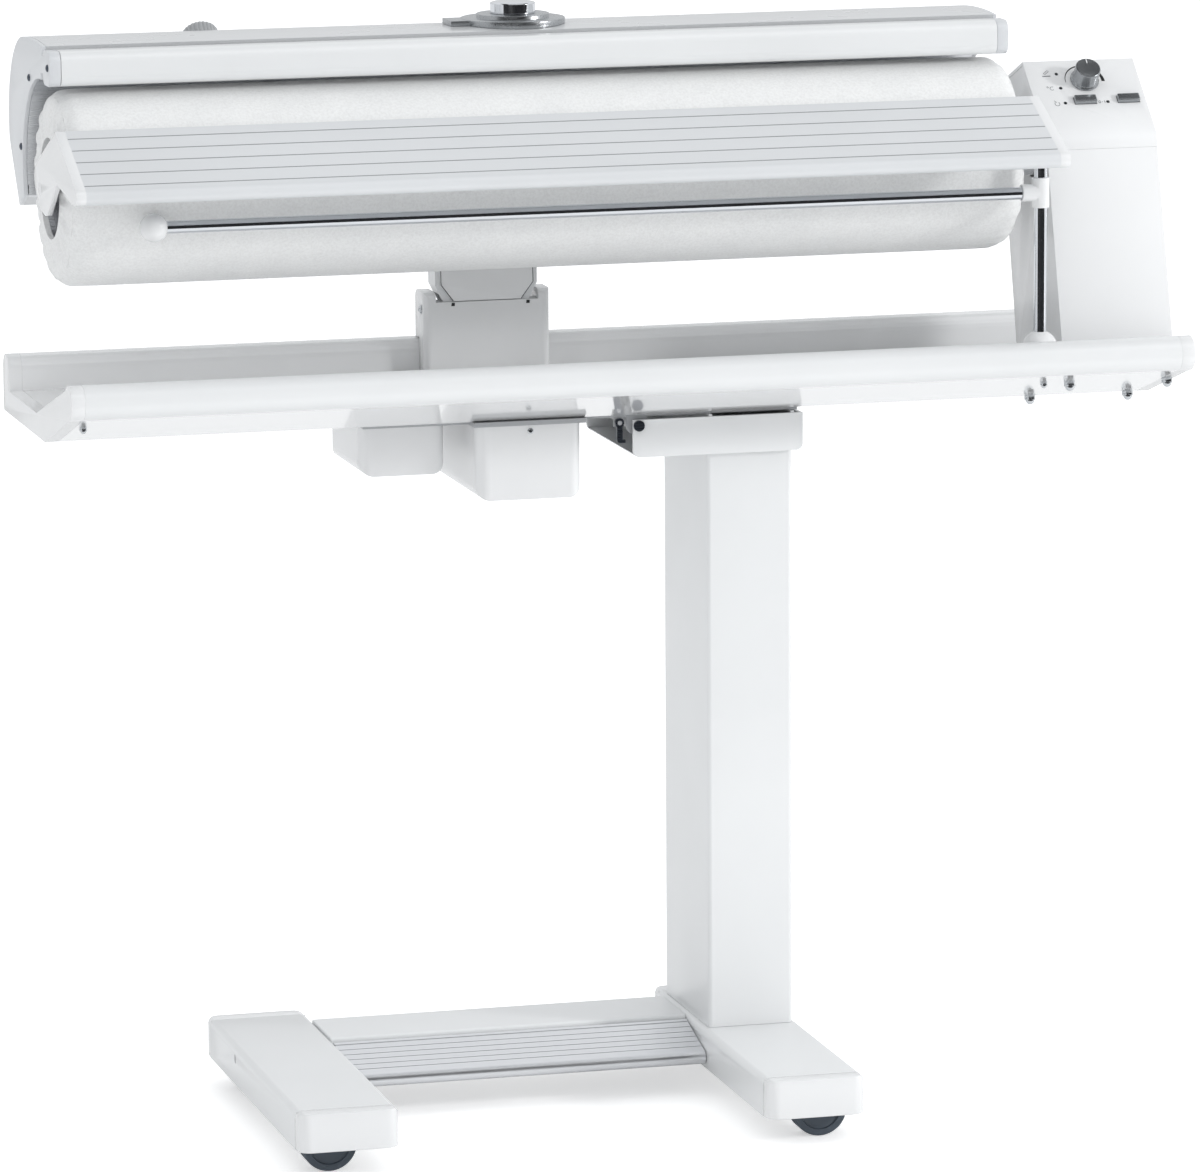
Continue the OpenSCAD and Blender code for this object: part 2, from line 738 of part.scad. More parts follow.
module tray_cavity() {
    polygon([[slope_top_y + tray_wall, slope_z(slope_top_y + tray_wall) - 1.2 * tray_wall],
        [tray_bend_y - tray_wall, slope_z(tray_bend_y - tray_wall) - 1.1 * tray_wall],
        [tray_bend_y - tray_wall, tray_bottom_z + tray_wall], [keel_y, tray_bottom_z + 1.1 * tray_wall],
        [slope_low_y + 2 * tray_wall, slope_low_z + tray_wall]]);
    translate([tray_bend_y + tray_wall, tray_bottom_z + tray_wall])
        square([back_in_y - tray_bend_y - 2 * tray_wall, tray_t - 2 * tray_wall]);
    polygon(concat([[back_in_y + tray_wall, tray_bottom_z + tray_wall]],
        arc(back_in_y + back_edge_r, back_top_z - back_edge_r, back_edge_r - tray_wall, 180, 0, 12),
        [[tray_back_y - tray_wall, tray_bottom_z + tray_wall]]));
}

module tray() {
    color(white) difference() {
        along_x(tray_x, tray_body_l) difference() {
            polygon(tray_outline);
            tray_cavity();
            translate([front_rail_y, front_rail_z]) circle(r = front_rail_r);
        }
        translate([arm_x - tail_w / 2 - slot_play, tail_slot_y, tray_bottom_z - over])
            cube([tail_w + 2 * slot_play, tail_slot_d, tray_t + 2 * over]);
    }
}

module front_rail() {
    color(white) difference() {
        rod_x(tray_x, tray_body_l, front_rail_y, front_rail_z, front_rail_r);
        rod_x(tray_x - over, tray_body_l + 2 * over, front_rail_y, front_rail_z, front_rail_r - tray_wall);
    }
}

module tray_end_caps() {
    color(white) for (x = [-tray_l / 2, tray_l / 2 - tray_cap_l]) along_x(x, tray_cap_l) union() {
        polygon(tray_outline);
        translate([front_rail_y, front_rail_z]) circle(r = front_rail_r);
    }
}

// Casings under the tray

// Open-topped casing w by d by h that hangs below z, with rounded lower and upright edges
module casing(x, y, z, w, d, h) {
    difference() {
        intersection() {
            translate([x, y, z - h]) round_box([w, d, h], casing_r);
            along_y(y - over, d + 2 * over) translate([x, z - h]) mirror([0, 1])
                translate([0, -h]) arch_rect(w, h, casing_r);
        }
        intersection() {
            translate([x + casing_wall, y + casing_wall, z - h + casing_wall])
                round_box([w - 2 * casing_wall, d - 2 * casing_wall, h], casing_r - casing_wall);
            along_y(y - over, d + 2 * over) translate([x + casing_wall, z - h + casing_wall]) mirror([0, 1])
                translate([0, -h]) arch_rect(w - 2 * casing_wall, h, casing_r - casing_wall);
        }
    }
}

module relay_casing() {
    color(white) casing(relay_x, relay_y, chassis_z, relay_w, relay_d, relay_h - chassis_t);
}

module drive_casing() {
    color(white) casing(drive_x, drive_y, chassis_z, drive_w, drive_d, drive_h - chassis_t);
}

// Press drive: a geared motor turns an eccentric cam that pushes the tail of the shoe arm back

cam_r = 13;
cam_w = 12;
cam_shaft_r = 4;
cam_gap = 0.9;
tail_t = 6;
tail_w = 14;
tail_y = shoe_hinge_y - arm_pin_r;
tail_kink = 14;
motor_gap = 2;
tail_bend_z = tray_bottom_z - chassis_t * 1.5;
cam_z = chassis_z - 1.8 * cam_r;
tail_end_z = cam_z - cam_r * 0.5;
tail_low_y = tail_y - 1.5 * tail_t;
cam_travel = (shoe_hinge_z - cam_z) * sin(shoe_open);
cam_y = tail_low_y - tail_t / 2 - cam_gap - cam_r + cam_travel / 2;
motor_r = 17;
motor_l = 30;
motor_x = arm_x - cam_w / 2 - motor_gap - motor_l;
tail_outline = [[tail_y - tail_t / 2, shoe_hinge_z - arm_pin_r], [tail_y - tail_t / 2, tail_bend_z],
    [tail_low_y - tail_t / 2, tail_bend_z - tail_kink], [tail_low_y - tail_t / 2, tail_end_z],
    [tail_low_y + tail_t / 2, tail_end_z], [tail_low_y + tail_t / 2, tail_bend_z - tail_kink],
    [tail_y + tail_t / 2, tail_bend_z], [tail_y + tail_t / 2, shoe_hinge_z - arm_pin_r]];

module press_motor() {
    color(metal) {
        rod_x(motor_x, motor_l, cam_y - motor_r * 0.3, cam_z + cam_gap, motor_r);
        rod_x(motor_x + motor_l - over, cam_w + over + motor_gap, cam_y, cam_z, cam_shaft_r);
        translate([motor_x, cam_y - motor_r, cam_z + motor_r * 0.4])
            cube([motor_l, 1.4 * motor_r, chassis_z - cam_z - motor_r * 0.4]);
    }
}

module press_cam() {
    color(pale) difference() {
        rod_x(arm_x - cam_w / 2, cam_w, cam_y - cam_travel / 2, cam_z, cam_r);
        rod_x(arm_x - cam_w, 2 * cam_w, cam_y, cam_z, cam_shaft_r + arm_fit);
    }
}

// Neck casing: a moulded clevis that stands on the tray floor in front of the back rail

neck_x = arm_x - neck_w / 2;
cheek_w = (neck_w - arm_w) / 2 - touch_gap;
neck_low_back_y = back_in_y - touch_gap;
neck_front_z = neck_top_z - 3 * neck_wall;

neck_side = concat([[neck_y, tray_floor_z]], [[neck_low_back_y, tray_floor_z],
    [neck_low_back_y, back_top_z + touch_gap], [neck_back_y, back_top_z + touch_gap],
    [neck_back_y, neck_top_z - neck_r]], arc(neck_back_y - neck_r, neck_top_z - neck_r, neck_r, 0, 90, 6),
    arc(neck_y + neck_r, neck_top_z - neck_r, neck_r, 90, 180, 6));

module neck_casing() {
    inside_x = neck_x + cheek_w;
    inside_w = neck_w - 2 * cheek_w;
    color(white) difference() {
        intersection() {
            along_x(neck_x, neck_w) polygon(neck_side);
            translate([neck_x, neck_y, 0])
                round_box([neck_w, neck_back_y - neck_y + neck_r, neck_top_z + over],
                neck_r);
        }
        translate([inside_x, neck_y + neck_wall, tray_floor_z - over])
            cube([inside_w, neck_low_back_y - neck_y - 2 * neck_wall, neck_top_z]);
        translate([inside_x, neck_y + neck_wall, back_top_z + neck_wall])
            cube([inside_w, neck_back_y, neck_top_z]);
        translate([inside_x, neck_y - over, neck_front_z]) cube([inside_w, neck_back_y, neck_top_z]);
        rod_x(neck_x - over, neck_w + 2 * over, shoe_hinge_y, shoe_hinge_z, arm_pin_r);
    }
}

module shoe_hinge_pin() {
    color(metal) rod_x(neck_x, neck_w, shoe_hinge_y, shoe_hinge_z, arm_pin_r);
}

// Shoe. Its inner face is an arc about [shoe_y, shoe_z], which is the roller axis turned open

hinge_dy = roller_y - shoe_hinge_y;
hinge_dz = roller_z - shoe_hinge_z;
shoe_y = shoe_hinge_y + hinge_dy * cos(shoe_open) + hinge_dz * sin(shoe_open);
shoe_z = shoe_hinge_z - hinge_dy * sin(shoe_open) + hinge_dz * cos(shoe_open);
shoe_in_r = roller_r + shoe_fit;
shoe_out_r = shoe_in_r + shoe_plate_t;
plate_low = -17;
plate_high = 93;
inner_x = shoe_x + shoe_end_t;
inner_l = shoe_l - 2 * shoe_end_t;

module shoe_plate() {
    color(metal) along_x(inner_x, inner_l) polygon(concat(
        arc(shoe_y, shoe_z, shoe_in_r, plate_low, plate_high, 44),
        arc(shoe_y, shoe_z, shoe_out_r, plate_high, plate_low, 44)));
}

heater_angles = [32, 53, 74];

module heating_rods() {
    color(dark) for (a = heater_angles)
        rod_x(inner_x, inner_l, shoe_y + (shoe_out_r + heater_r) * cos(a),
            shoe_z + (shoe_out_r + heater_r) * sin(a), heater_r);
}

// Outline of the shoe cover: crowned top, round back and a straight run in to the lower lip.
// Places are shares of the rear radius, from the centre of the shoe's inner arc.
cover_centre_shares = [0.8974, 0.4743];
cover_front_shares = [-0.1626, 1.4743];
cover_lip_shares = [1.3374, -0.4657];
cover_y = shoe_y + cover_centre_shares[0] * cover_r;
cover_z = shoe_z + cover_centre_shares[1] * cover_r;
cover_front_y = shoe_y + cover_front_shares[0] * cover_r;
cover_front_z = shoe_z + cover_front_shares[1] * cover_r;
cover_turn = 80;
cover_end_turn = -15;
cover_top_z = cover_z + cover_r * sin(cover_turn);
cover_top_y = cover_y + cover_r * cos(cover_turn);
lip_y = shoe_y + cover_lip_shares[0] * cover_r;
lip_z = shoe_z + cover_lip_shares[1] * cover_r;

function crown(t, inset) = [cover_front_y + inset + (cover_top_y - cover_front_y - inset) * t,
    cover_front_z + (cover_top_z - cover_front_z) * t + cover_crown * 4 * t * (1 - t) - inset];

function cover_outer(inset) = concat([for (i = [0:9]) crown(i / 10, inset)],
    arc(cover_y, cover_z, cover_r - inset, cover_turn, cover_end_turn, 24),
    [[lip_y - 1.4 * inset, lip_z + inset]]);

module cover_profile() {
    polygon(concat(cover_outer(0), arc(shoe_y, shoe_z, shoe_out_r, plate_low, plate_high, 44)));
}

module cover_inside() {
    polygon(concat(cover_outer(cover_wall),
        arc(shoe_y, shoe_z, shoe_out_r - over, plate_low + 2, plate_high - 3, 44)));
}

arm_slot_d = 52;
arm_slot_h = 32;
fluted_tilt = 50;
fluted_lift = 1;
fluted_y = cover_y + cover_r * sin(fluted_tilt);
fluted_seat_z = cover_z + cover_r * cos(fluted_tilt);

module shoe_cover() {
    color(white) difference() {
        union() {
            along_x(inner_x, inner_l) difference() {
                cover_profile();
                cover_inside();
            }
            translate([fluted_x, fluted_y, fluted_seat_z]) rotate([-fluted_tilt, 0, 0])
                translate([0, 0, -fluted_r / 3]) cylinder(h = fluted_r / 3 + fluted_lift, r = fluted_r * 0.7);
        }
        translate([arm_x - arm_w / 2 - touch_gap, lip_y - arm_slot_d / 2, lip_z - 2 * over])
            cube([arm_w + 2 * touch_gap, arm_slot_d, arm_slot_h]);
    }
}

module end_plate_profile() {
    ear = 0.75 * guard_d;
    polygon(concat(cover_outer(0), arc(shoe_y, shoe_z, shoe_in_r, plate_low, plate_high, 44)));
    translate([guard_y, guard_z]) round_rect(guard_d, guard_h, guard_r);
    translate([guard_y + guard_d - ear, guard_z + guard_r]) square([ear + guard_r, guard_h / 2]);
}

module shoe_end_plates() {
    color(pale) {
        for (x = [shoe_x, shoe_x + shoe_l - shoe_end_t]) along_x(x, shoe_end_t) end_plate_profile();
        for (x = [shoe_x, shoe_x + shoe_l - guard_cap_w]) along_x(x, guard_cap_w)
            translate([guard_y, guard_z]) round_rect(guard_d, guard_h, guard_r);
        rod_x(guard_end_x - over, guard_end_t, guard_hinge_y, guard_hinge_z, guard_pin_r);
        rod_x(guard_end_x + guard_l + over - guard_end_t, guard_end_t, guard_hinge_y, guard_hinge_z,
            guard_pin_r);
    }
}

// Arm: a hollow casting from the hinge pin up to the back of the heated plate, with a tail for the cam
arm_play = 1;
arm_front_y = neck_y + neck_wall + arm_play;
arm_back_y = neck_back_y - arm_wall;
arm_low_z = neck_top_z - 6 * arm_pin_r;
arm_foot_angle = plate_low - 1;
arm_head_angle = 22;

function arm_outline(inset) = concat(
    [[arm_front_y + inset, arm_low_z + inset], [arm_back_y - inset, arm_low_z + inset],
    [arm_back_y - inset, neck_top_z + 7 * arm_wall], [lip_y + 6 * arm_wall - inset, lip_z + 2 * arm_wall],
    [cover_y + cover_r * 0.6 - inset, cover_z - cover_r * 0.2]],
    arc(shoe_y, shoe_z, shoe_out_r + (inset > 0 ? inset : touch_gap / 3), arm_head_angle, arm_foot_angle, 14),
    [[lip_y - 4 * arm_wall + inset, lip_z + inset], [arm_front_y + inset, neck_top_z + 6.5 * arm_wall]]);

module shoe_arm() {
    taper = arm_w * 0.16;
    color(pale) difference() {
        union() {
            difference() {
                intersection() {
                    along_x(arm_x - arm_w / 2, arm_w) polygon(arm_outline(0));
                    along_y(shoe_y, 2 * arm_back_y) translate([arm_x, 0]) polygon([
                        [-arm_w / 2 + taper, arm_low_z], [arm_w / 2 - taper, arm_low_z],
                        [arm_w / 2, arm_low_z + 2 * taper], [arm_w / 2, cover_z],
                        [-arm_w / 2, cover_z], [-arm_w / 2, arm_low_z + 2 * taper]]);
                }
                along_x(arm_x - arm_w / 2 + arm_wall, arm_w - 2 * arm_wall) polygon(arm_outline(arm_wall));
            }
            rod_x(arm_x - arm_w / 2, arm_w, shoe_hinge_y, shoe_hinge_z, 2 * arm_pin_r);
            along_x(arm_x - tail_w / 2, tail_w) polygon(tail_outline);
        }
        rod_x(neck_x - over, neck_w + 2 * over, shoe_hinge_y, shoe_hinge_z, arm_pin_r + arm_fit);
    }
}

// Finger guard: a rounded hollow rail in front of the cover that tilts about its upper rear edge
guard_gap = 2.5;
guard_y = cover_front_y - guard_gap - guard_d;
guard_z = cover_front_z - guard_h - guard_wall;
guard_hinge_y = guard_y + guard_d - guard_r;
guard_hinge_z = guard_z + guard_h - guard_r;
guard_pin_r = 2.5;

guard_cap_w = 10;
guard_end_x = shoe_x + guard_cap_w + touch_gap;
guard_l = shoe_l - 2 * (guard_cap_w + touch_gap);
guard_end_t = 5;

module finger_guard() {
    color(white) difference() {
        along_x(guard_end_x, guard_l) translate([guard_y, guard_z]) round_rect(guard_d, guard_h, guard_r);
        along_x(guard_end_x + guard_end_t, guard_l - 2 * guard_end_t)
            translate([guard_y + guard_wall, guard_z + guard_wall])
                round_rect(guard_d - 2 * guard_wall, guard_h - 2 * guard_wall, guard_r - guard_wall);
        rod_x(guard_end_x - over, guard_l + 2 * over, guard_hinge_y, guard_hinge_z, guard_pin_r + arm_fit);
    }
}

// Fittings on the shoe cover

flange_z = cover_front_z + cover_crown;

// The flange's lower face follows the crown of the cover
module top_flange() {
    tab_w = flange_r * 0.3;
    color(white) difference() {
        translate([flange_x, flange_y, flange_z - 2 * cover_crown]) {
            cylinder(h = flange_t * 0.55 + 2 * cover_crown, r = flange_r);
            cylinder(h = flange_t + 2 * cover_crown, r = flange_r * 0.7);
            translate([-flange_r - tab_w, -flange_r * 0.35, 0])
                cube([flange_r + tab_w, flange_r * 0.7, flange_t * 0.5 + 2 * cover_crown]);
        }
        along_x(flange_x - 2 * flange_r, 4 * flange_r) translate([0, touch_gap / 2]) polygon(cover_outer(0));
    }
}

module filler_cap() {
    edge = 1.2;
    seat_z = flange_z + flange_t + touch_gap;
    color(metal) translate([flange_x, flange_y, seat_z]) rotate_extrude() polygon(concat(
        [[0, 0], [filler_r, 0]], arc(filler_r - edge, filler_h - 2 * edge, edge, 0, 60, 3),
        [[filler_r * 0.8, filler_h - edge * 0.4], [filler_r * 0.4, filler_h], [0, filler_h]]));
}

flutes = 28;

module fluted_knob() {
    color(white) translate([fluted_x, fluted_y, fluted_seat_z]) rotate([-fluted_tilt, 0, 0])
        translate([0, 0, fluted_lift + touch_gap]) difference() {
        rotate_extrude() polygon(concat([[0, 0], [fluted_r, 0]],
            [for (a = [0:15:90]) [fluted_r * (0.35 + 0.65 * cos(a)), fluted_h * (0.5 + 0.5 * sin(a))]],
            [[0, fluted_h]]));
        for (k = [0:flutes - 1]) rotate([0, 0, 360 * k / flutes]) translate([fluted_r, 0, -over])
            cylinder(h = fluted_h * 0.8, r = fluted_r * 0.06, $fn = 12);
    }
}

// Roller and its drive

bracket_t = 6;
stub_reach = 10;
gear_gap = 2;
bracket_x = housing_x + housing_wall + gear_w + stub_reach + gear_gap;
axle_x = feed_x + feed_plate_t;
stud_r = axle_r * 0.36;
roller_end_x = roller_x + roller_l;
disc_inset = 12;
left_disc_x = roller_x + disc_inset;
right_disc_x = roller_end_x - disc_inset - bearing_w;
gear_x = bracket_x - gear_w - gear_gap;
gear_r = gear_module * gear_teeth / 2;
pinion_r = gear_module * pinion_teeth / 2;
pinion_z = roller_z - gear_r - pinion_r - gear_play;
stub_r = axle_r * 1.7;

module roller_bracket() {
    foot_y0 = housing_front_y + 2.7 * bracket_t;
    foot_y1 = housing_back_y - bracket_t;
    color(metal) difference() {
        union() {
            along_x(bracket_x, bracket_t) polygon([[foot_y0, slope_z(foot_y0)], [tray_bend_y, tray_floor_z],
                [foot_y1, tray_floor_z], [roller_y + 3.2 * axle_r, roller_z + axle_r],
                [roller_y + 2 * axle_r, roller_z + 2.4 * axle_r],
                [roller_y - 2 * axle_r, roller_z + axle_r]]);
            translate([bracket_x, tray_bend_y, tray_floor_z])
                cube([5 * bracket_t, foot_y1 - tray_bend_y, bracket_t / 2]);
        }
        rod_x(bracket_x - over, bracket_t + 2 * over, roller_y, roller_z, axle_r);
        rod_x(bracket_x - over, bracket_t + 2 * over, roller_y, pinion_z, pinion_r);
    }
}

module roller_axle() {
    color(metal) {
        rod_x(axle_x + touch_gap, bracket_x + bracket_t * 1.5 - axle_x - touch_gap, roller_y, roller_z,
            axle_r);
        rod_x(feed_x - touch_gap, axle_x - feed_x + over, roller_y, roller_z, stud_r);
    }
}

module roller_bearings() {
    color(metal) for (x = [left_disc_x, right_disc_x]) difference() {
        rod_x(x, bearing_w, roller_y, roller_z, bearing_r);
        rod_x(x - over, bearing_w + 2 * over, roller_y, roller_z, axle_r + bearing_fit);
    }
}

tube_r = roller_r - padding_t;

module roller_tube() {
    disc_t = 3;
    stub_x = right_disc_x + bearing_w;
    color(metal) difference() {
        union() {
            difference() {
                rod_x(roller_x, roller_l, roller_y, roller_z, tube_r);
                rod_x(roller_x - over, roller_l + 2 * over, roller_y, roller_z, tube_r - tube_wall);
            }
            for (x = [left_disc_x, right_disc_x]) {
                rod_x(x + (x < 0 ? 0 : bearing_w), disc_t, roller_y, roller_z, tube_r - tube_wall / 2);
                rod_x(x, bearing_w, roller_y, roller_z, bearing_r + disc_t);
            }
            rod_x(stub_x, gear_x + gear_w - stub_x, roller_y, roller_z, stub_r);
        }
        for (x = [left_disc_x, right_disc_x])
            rod_x(x - over, bearing_w + over, roller_y, roller_z, bearing_r);
        rod_x(left_disc_x - over, bearing_w + 2 * over, roller_y, roller_z, bearing_r);
        rod_x(right_disc_x, gear_x + 2 * gear_w - right_disc_x, roller_y, roller_z, axle_r + gear_gap);
    }
}

module roller_cloth() {
    fold_t = 4;
    edge = 1.8 * padding_t;
    x0 = roller_x - fold_t;
    x1 = roller_end_x + fold_t;
    color("whitesmoke") translate([0, roller_y, roller_z]) rotate([0, 90, 0]) rotate_extrude($fn = 96)
        polygon(concat([[tube_r, roller_x], [tube_r, roller_end_x], [cloth_mouth_r, roller_end_x]],
            [[cloth_mouth_r, x1]], arc(roller_r - edge, x1 - edge, edge, 90, 0, 5),
            arc(roller_r - edge, x0 + edge, edge, 0, -90, 5),
            [[cloth_mouth_r, x0], [cloth_mouth_r, roller_x]]));
}

// Spur gear in the XY plane, its first tooth on +X
tooth_root_share = 0.235;
tooth_tip_share = 0.1;
module spur(teeth, tooth_module) {
    pitch_r = tooth_module * teeth / 2;
    root_r = pitch_r - 1.2 * tooth_module;
    tip_r = pitch_r + 0.85 * tooth_module;
    pitch = 360 / teeth;
    polygon([for (k = [0:teeth - 1]) for (p = [[-1, 0], [-1, 1], [1, 1], [1, 0]])
        let (a = k * pitch + p[0] * pitch * (p[1] > 0 ? tooth_tip_share : tooth_root_share),
            r = p[1] > 0 ? tip_r : root_r) [r * cos(a), r * sin(a)]]);
}

// The gear has a gap straight below the axis, and the pinion a tooth straight above its own
module roller_gear() {
    color(pale) translate([gear_x, roller_y, roller_z]) rotate([90, 0, 90]) difference() {
        linear_extrude(height = gear_w) rotate(-90 + 180 / gear_teeth) spur(gear_teeth, gear_module);
        translate([0, 0, -over]) cylinder(h = gear_w + 2 * over, r = stub_r);
    }
}

module motor_pinion() {
    shaft_r = pinion_r * 0.4;
    color(metal) translate([gear_x, roller_y, pinion_z]) rotate([90, 0, 90]) difference() {
        linear_extrude(height = gear_w) rotate(90) spur(pinion_teeth, gear_module);
        translate([0, 0, -over]) cylinder(h = gear_w + 2 * over, r = shaft_r + bearing_fit);
    }
}

module drive_motor() {
    shaft_r = pinion_r * 0.4;
    body_l = 46;
    body_r = 24;
    cap_l = 7;
    color(metal) {
        rod_x(gear_x, bracket_x + bracket_t + over - gear_x, roller_y, pinion_z, shaft_r);
        rod_x(bracket_x + bracket_t, body_l, roller_y, pinion_z, body_r);
        rod_x(bracket_x + bracket_t + body_l - over, cap_l + over, roller_y, pinion_z, body_r * 0.5);
    }
}

// Feed board and its end brackets. Outlines are drawn in the board's own plane, rear edge at [0, 0]

module feed_place() {
    translate([feed_rear_y, feed_rear_z]) rotate(feed_angle) children();
}

module feed_section() {
    difference() {
        union() {
            translate([-feed_l, -feed_t]) square([feed_l, feed_t]);
            translate([-feed_l, -feed_nose_r]) circle(r = feed_nose_r);
        }
        for (k = [1:feed_grooves]) translate([-feed_l * (k - 0.3) / feed_grooves, -groove_cut])
            square([groove_cut, 2 * groove_cut]);
    }
}

module feed_board() {
    color(pale) along_x(feed_x + feed_cap_w, feed_right_x - feed_x - 2 * feed_cap_w)
        feed_place() feed_section();
}

feed_lip = 2;
feed_nose_y = feed_rear_y - (feed_l - feed_nose_r * 0.1) * cos(feed_angle) + feed_nose_r * sin(feed_angle);
feed_nose_z = feed_rear_z - feed_l * sin(feed_angle) - feed_nose_r * cos(feed_angle);

// Outline of the left bracket from the board's rear edge, as shares of the board's length
bracket_shares = [[0, -0.01], [0.4, -0.17], [0.9, -0.385], [0.99, -0.43], [1.03, -0.5], [1.01, -0.58],
    [0.94, -0.66],
    [0.82, -0.74], [0.67, -0.795], [0.52, -0.815], [0.42, -0.802], [-0.042, -0.465], [-0.776, -0.56],
    [-0.88, -0.54], [-0.88, -0.42]];

// Outline of an end piece of the board, a lip deeper than the board itself
module feed_cap_profile() {
    feed_place() {
        translate([-feed_l, -feed_t - feed_lip]) square([feed_l, feed_t + feed_lip]);
        translate([-feed_l, -feed_nose_r]) circle(r = feed_nose_r);
    }
}

module feed_left_profile() {
    feed_cap_profile();
    polygon([for (q = bracket_shares) [feed_rear_y, feed_rear_z] + feed_l * q]);
}

// The right bracket reaches back to a spigot on the housing and carries a socket for the rail post
spigot_y = housing_top_y + 3 * panel_t;
spigot_r = 6;
spigot_z = housing_top_z - 1.2 * spigot_r;
socket_wall = 2.5;
socket_r = rod_r + socket_wall;
socket_z = post_top_z - 1.75 * socket_r;

module feed_right_profile() {
    feed_cap_profile();
    polygon([[feed_rear_y - 1.5 * feed_lip, feed_rear_z - feed_lip],
        [feed_rear_y + 1.5 * feed_plate_t, feed_rear_z - feed_lip],
        [spigot_y + spigot_r, spigot_z + spigot_r], [spigot_y + spigot_r, spigot_z - spigot_r],
        [spigot_y - spigot_r, spigot_z - spigot_r],
        [feed_rear_y - 4 * feed_plate_t, feed_rear_z - 5 * feed_plate_t]]);
}

module feed_brackets() {
    color(white) {
        difference() {
            union() {
                along_x(feed_x, feed_cap_w) feed_cap_profile();
                along_x(feed_x, feed_plate_t) feed_left_profile();
            }
            rod_x(feed_x - over, feed_plate_t + 2 * over, roller_y, roller_z, stud_r);
        }
        difference() {
            union() {
                along_x(feed_right_x - feed_cap_w, feed_cap_w) feed_cap_profile();
                along_x(feed_right_x - feed_plate_t, feed_plate_t) feed_right_profile();
                rod_x(feed_right_x - over, housing_x - feed_right_x + over, spigot_y, spigot_z, spigot_r);
                difference() {
                    translate([post_x, post_y, socket_z]) cylinder(h = 5 * socket_r, r = socket_r);
                    along_x(post_x - 2 * socket_r, 4 * socket_r) feed_place()
                        translate([-2 * feed_l, -feed_t]) square([3 * feed_l, 6 * feed_t]);
                }
            }
            translate([post_x, post_y, socket_z - over])
                cylinder(h = post_top_z - socket_z + over, r = rod_r);
        }
    }
}

// Drying rail

foot_seat_z = slope_z(post_y);
post_seat_z = slope_z(post_y - rod_r);

module rail_post() {
    color(metal) {
        translate([post_x, post_y, post_seat_z]) cylinder(h = post_top_z - post_seat_z - rod_r, r = rod_r);
        translate([post_x, post_y, post_top_z - rod_r]) sphere(r = rod_r);
    }
}

module rail_foot() {
    color(white) difference() {
        translate([post_x, post_y, foot_seat_z]) sphere(r = post_foot_r);
        along_x(post_x - 2 * post_foot_r, 4 * post_foot_r) polygon([
            [post_y - 2 * post_foot_r, slope_z(post_y - 2 * post_foot_r)],
            [post_y + 2 * post_foot_r, slope_z(post_y + 2 * post_foot_r)],
            [post_y + 2 * post_foot_r, foot_seat_z - 4 * post_foot_r],
            [post_y - 2 * post_foot_r, foot_seat_z - 4 * post_foot_r]]);
        rod_x(post_x - 2 * post_foot_r, 4 * post_foot_r, front_rail_y, front_rail_z, front_rail_r);
        translate([post_x, post_y, foot_seat_z - post_foot_r]) cylinder(h = 3 * post_foot_r, r = rod_r);
    }
}

module rail_clip() {
    arm_l = 3.2 * rod_r;
    color(white) difference() {
        union() {
            translate([post_x, post_y, rail_z - clip_l / 2]) cylinder(h = clip_l, r = clip_r);
            rod_x(post_x - arm_l, arm_l, post_y, rail_z, clip_r * 0.98);
        }
        translate([post_x, post_y, rail_z - clip_l]) cylinder(h = 2 * clip_l, r = rod_r + clip_fit);
        rod_x(post_x - 2 * arm_l, 2 * arm_l - clip_r - rod_r / 4, post_y, rail_z, rod_r);
    }
}

module drying_rail() {
    color(metal) rod_x(rail_x, post_x - clip_r - rod_r / 4 - rail_x, post_y, rail_z, rod_r);
}

module rail_ball() {
    bore_r = rod_r + clip_fit;
    bore_x = ball_r / 2 - touch_gap;
    color(white) translate([rail_x - ball_r / 2, post_y, rail_z]) rotate([0, 90, 0]) rotate_extrude()
        polygon(concat(arc(0, 0, ball_r, -90, acos(bore_r / ball_r), 20), [[bore_r, bore_x], [0, bore_x]]));
}

// Control housing

panel_run = ridge_y - housing_top_y;
panel_rise = ridge_z - housing_top_z;
panel_angle = atan2(panel_rise, panel_run);
panel_l = sqrt(panel_run * panel_run + panel_rise * panel_rise);
housing_lean = (housing_top_y - housing_front_y) / (housing_top_z - slope_z(housing_front_y));
shoulder_drop = 27;
shoulder_z = ridge_z - shoulder_drop;
shoulder_y = housing_back_y + housing_lean * 0.9 * (shoulder_z - tray_floor_z);
lip_low_z = housing_top_z - panel_lip;
lip_low_y = housing_top_y - housing_lean * panel_lip;
back_angle = atan2(ridge_z - shoulder_z, shoulder_y - ridge_y);

// A [Y, Z] place s up the panel's slope and h out of it
function panel_pt(s, h) = [housing_top_y + s * cos(panel_angle) - h * sin(panel_angle),
    housing_top_z + s * sin(panel_angle) + h * cos(panel_angle)];

// The panel's under side, t below its top, from the rear shoulder to the front lip
function panel_under(t) = [[shoulder_y - t * sin(back_angle), shoulder_z - t * cos(back_angle)],
    panel_pt(panel_l - t * tan((panel_angle + back_angle) / 2), -t), panel_pt(0.55 * t, -t),
    [lip_low_y + t, lip_low_z]];

function housing_outline() = concat([[housing_front_y, slope_z(housing_front_y)], [tray_bend_y, tray_floor_z],
    [housing_back_y, tray_floor_z]], panel_under(panel_t + touch_gap / 2),
    [[lip_low_y + panel_t + touch_gap / 2, lip_low_z - touch_gap / 2],
    [lip_low_y, lip_low_z - touch_gap / 2]]);

function housing_inside(t) = concat([[housing_front_y + t, slope_z(housing_front_y) - t],
    [tray_bend_y, tray_floor_z - t], [housing_back_y - t, tray_floor_z - t],
    [shoulder_y - 2.2 * t, shoulder_z + 2 * t], panel_pt(panel_l - 2 * t, t), panel_pt(3 * t, t),
    [lip_low_y + panel_t + 1.6 * t, lip_low_z]]);

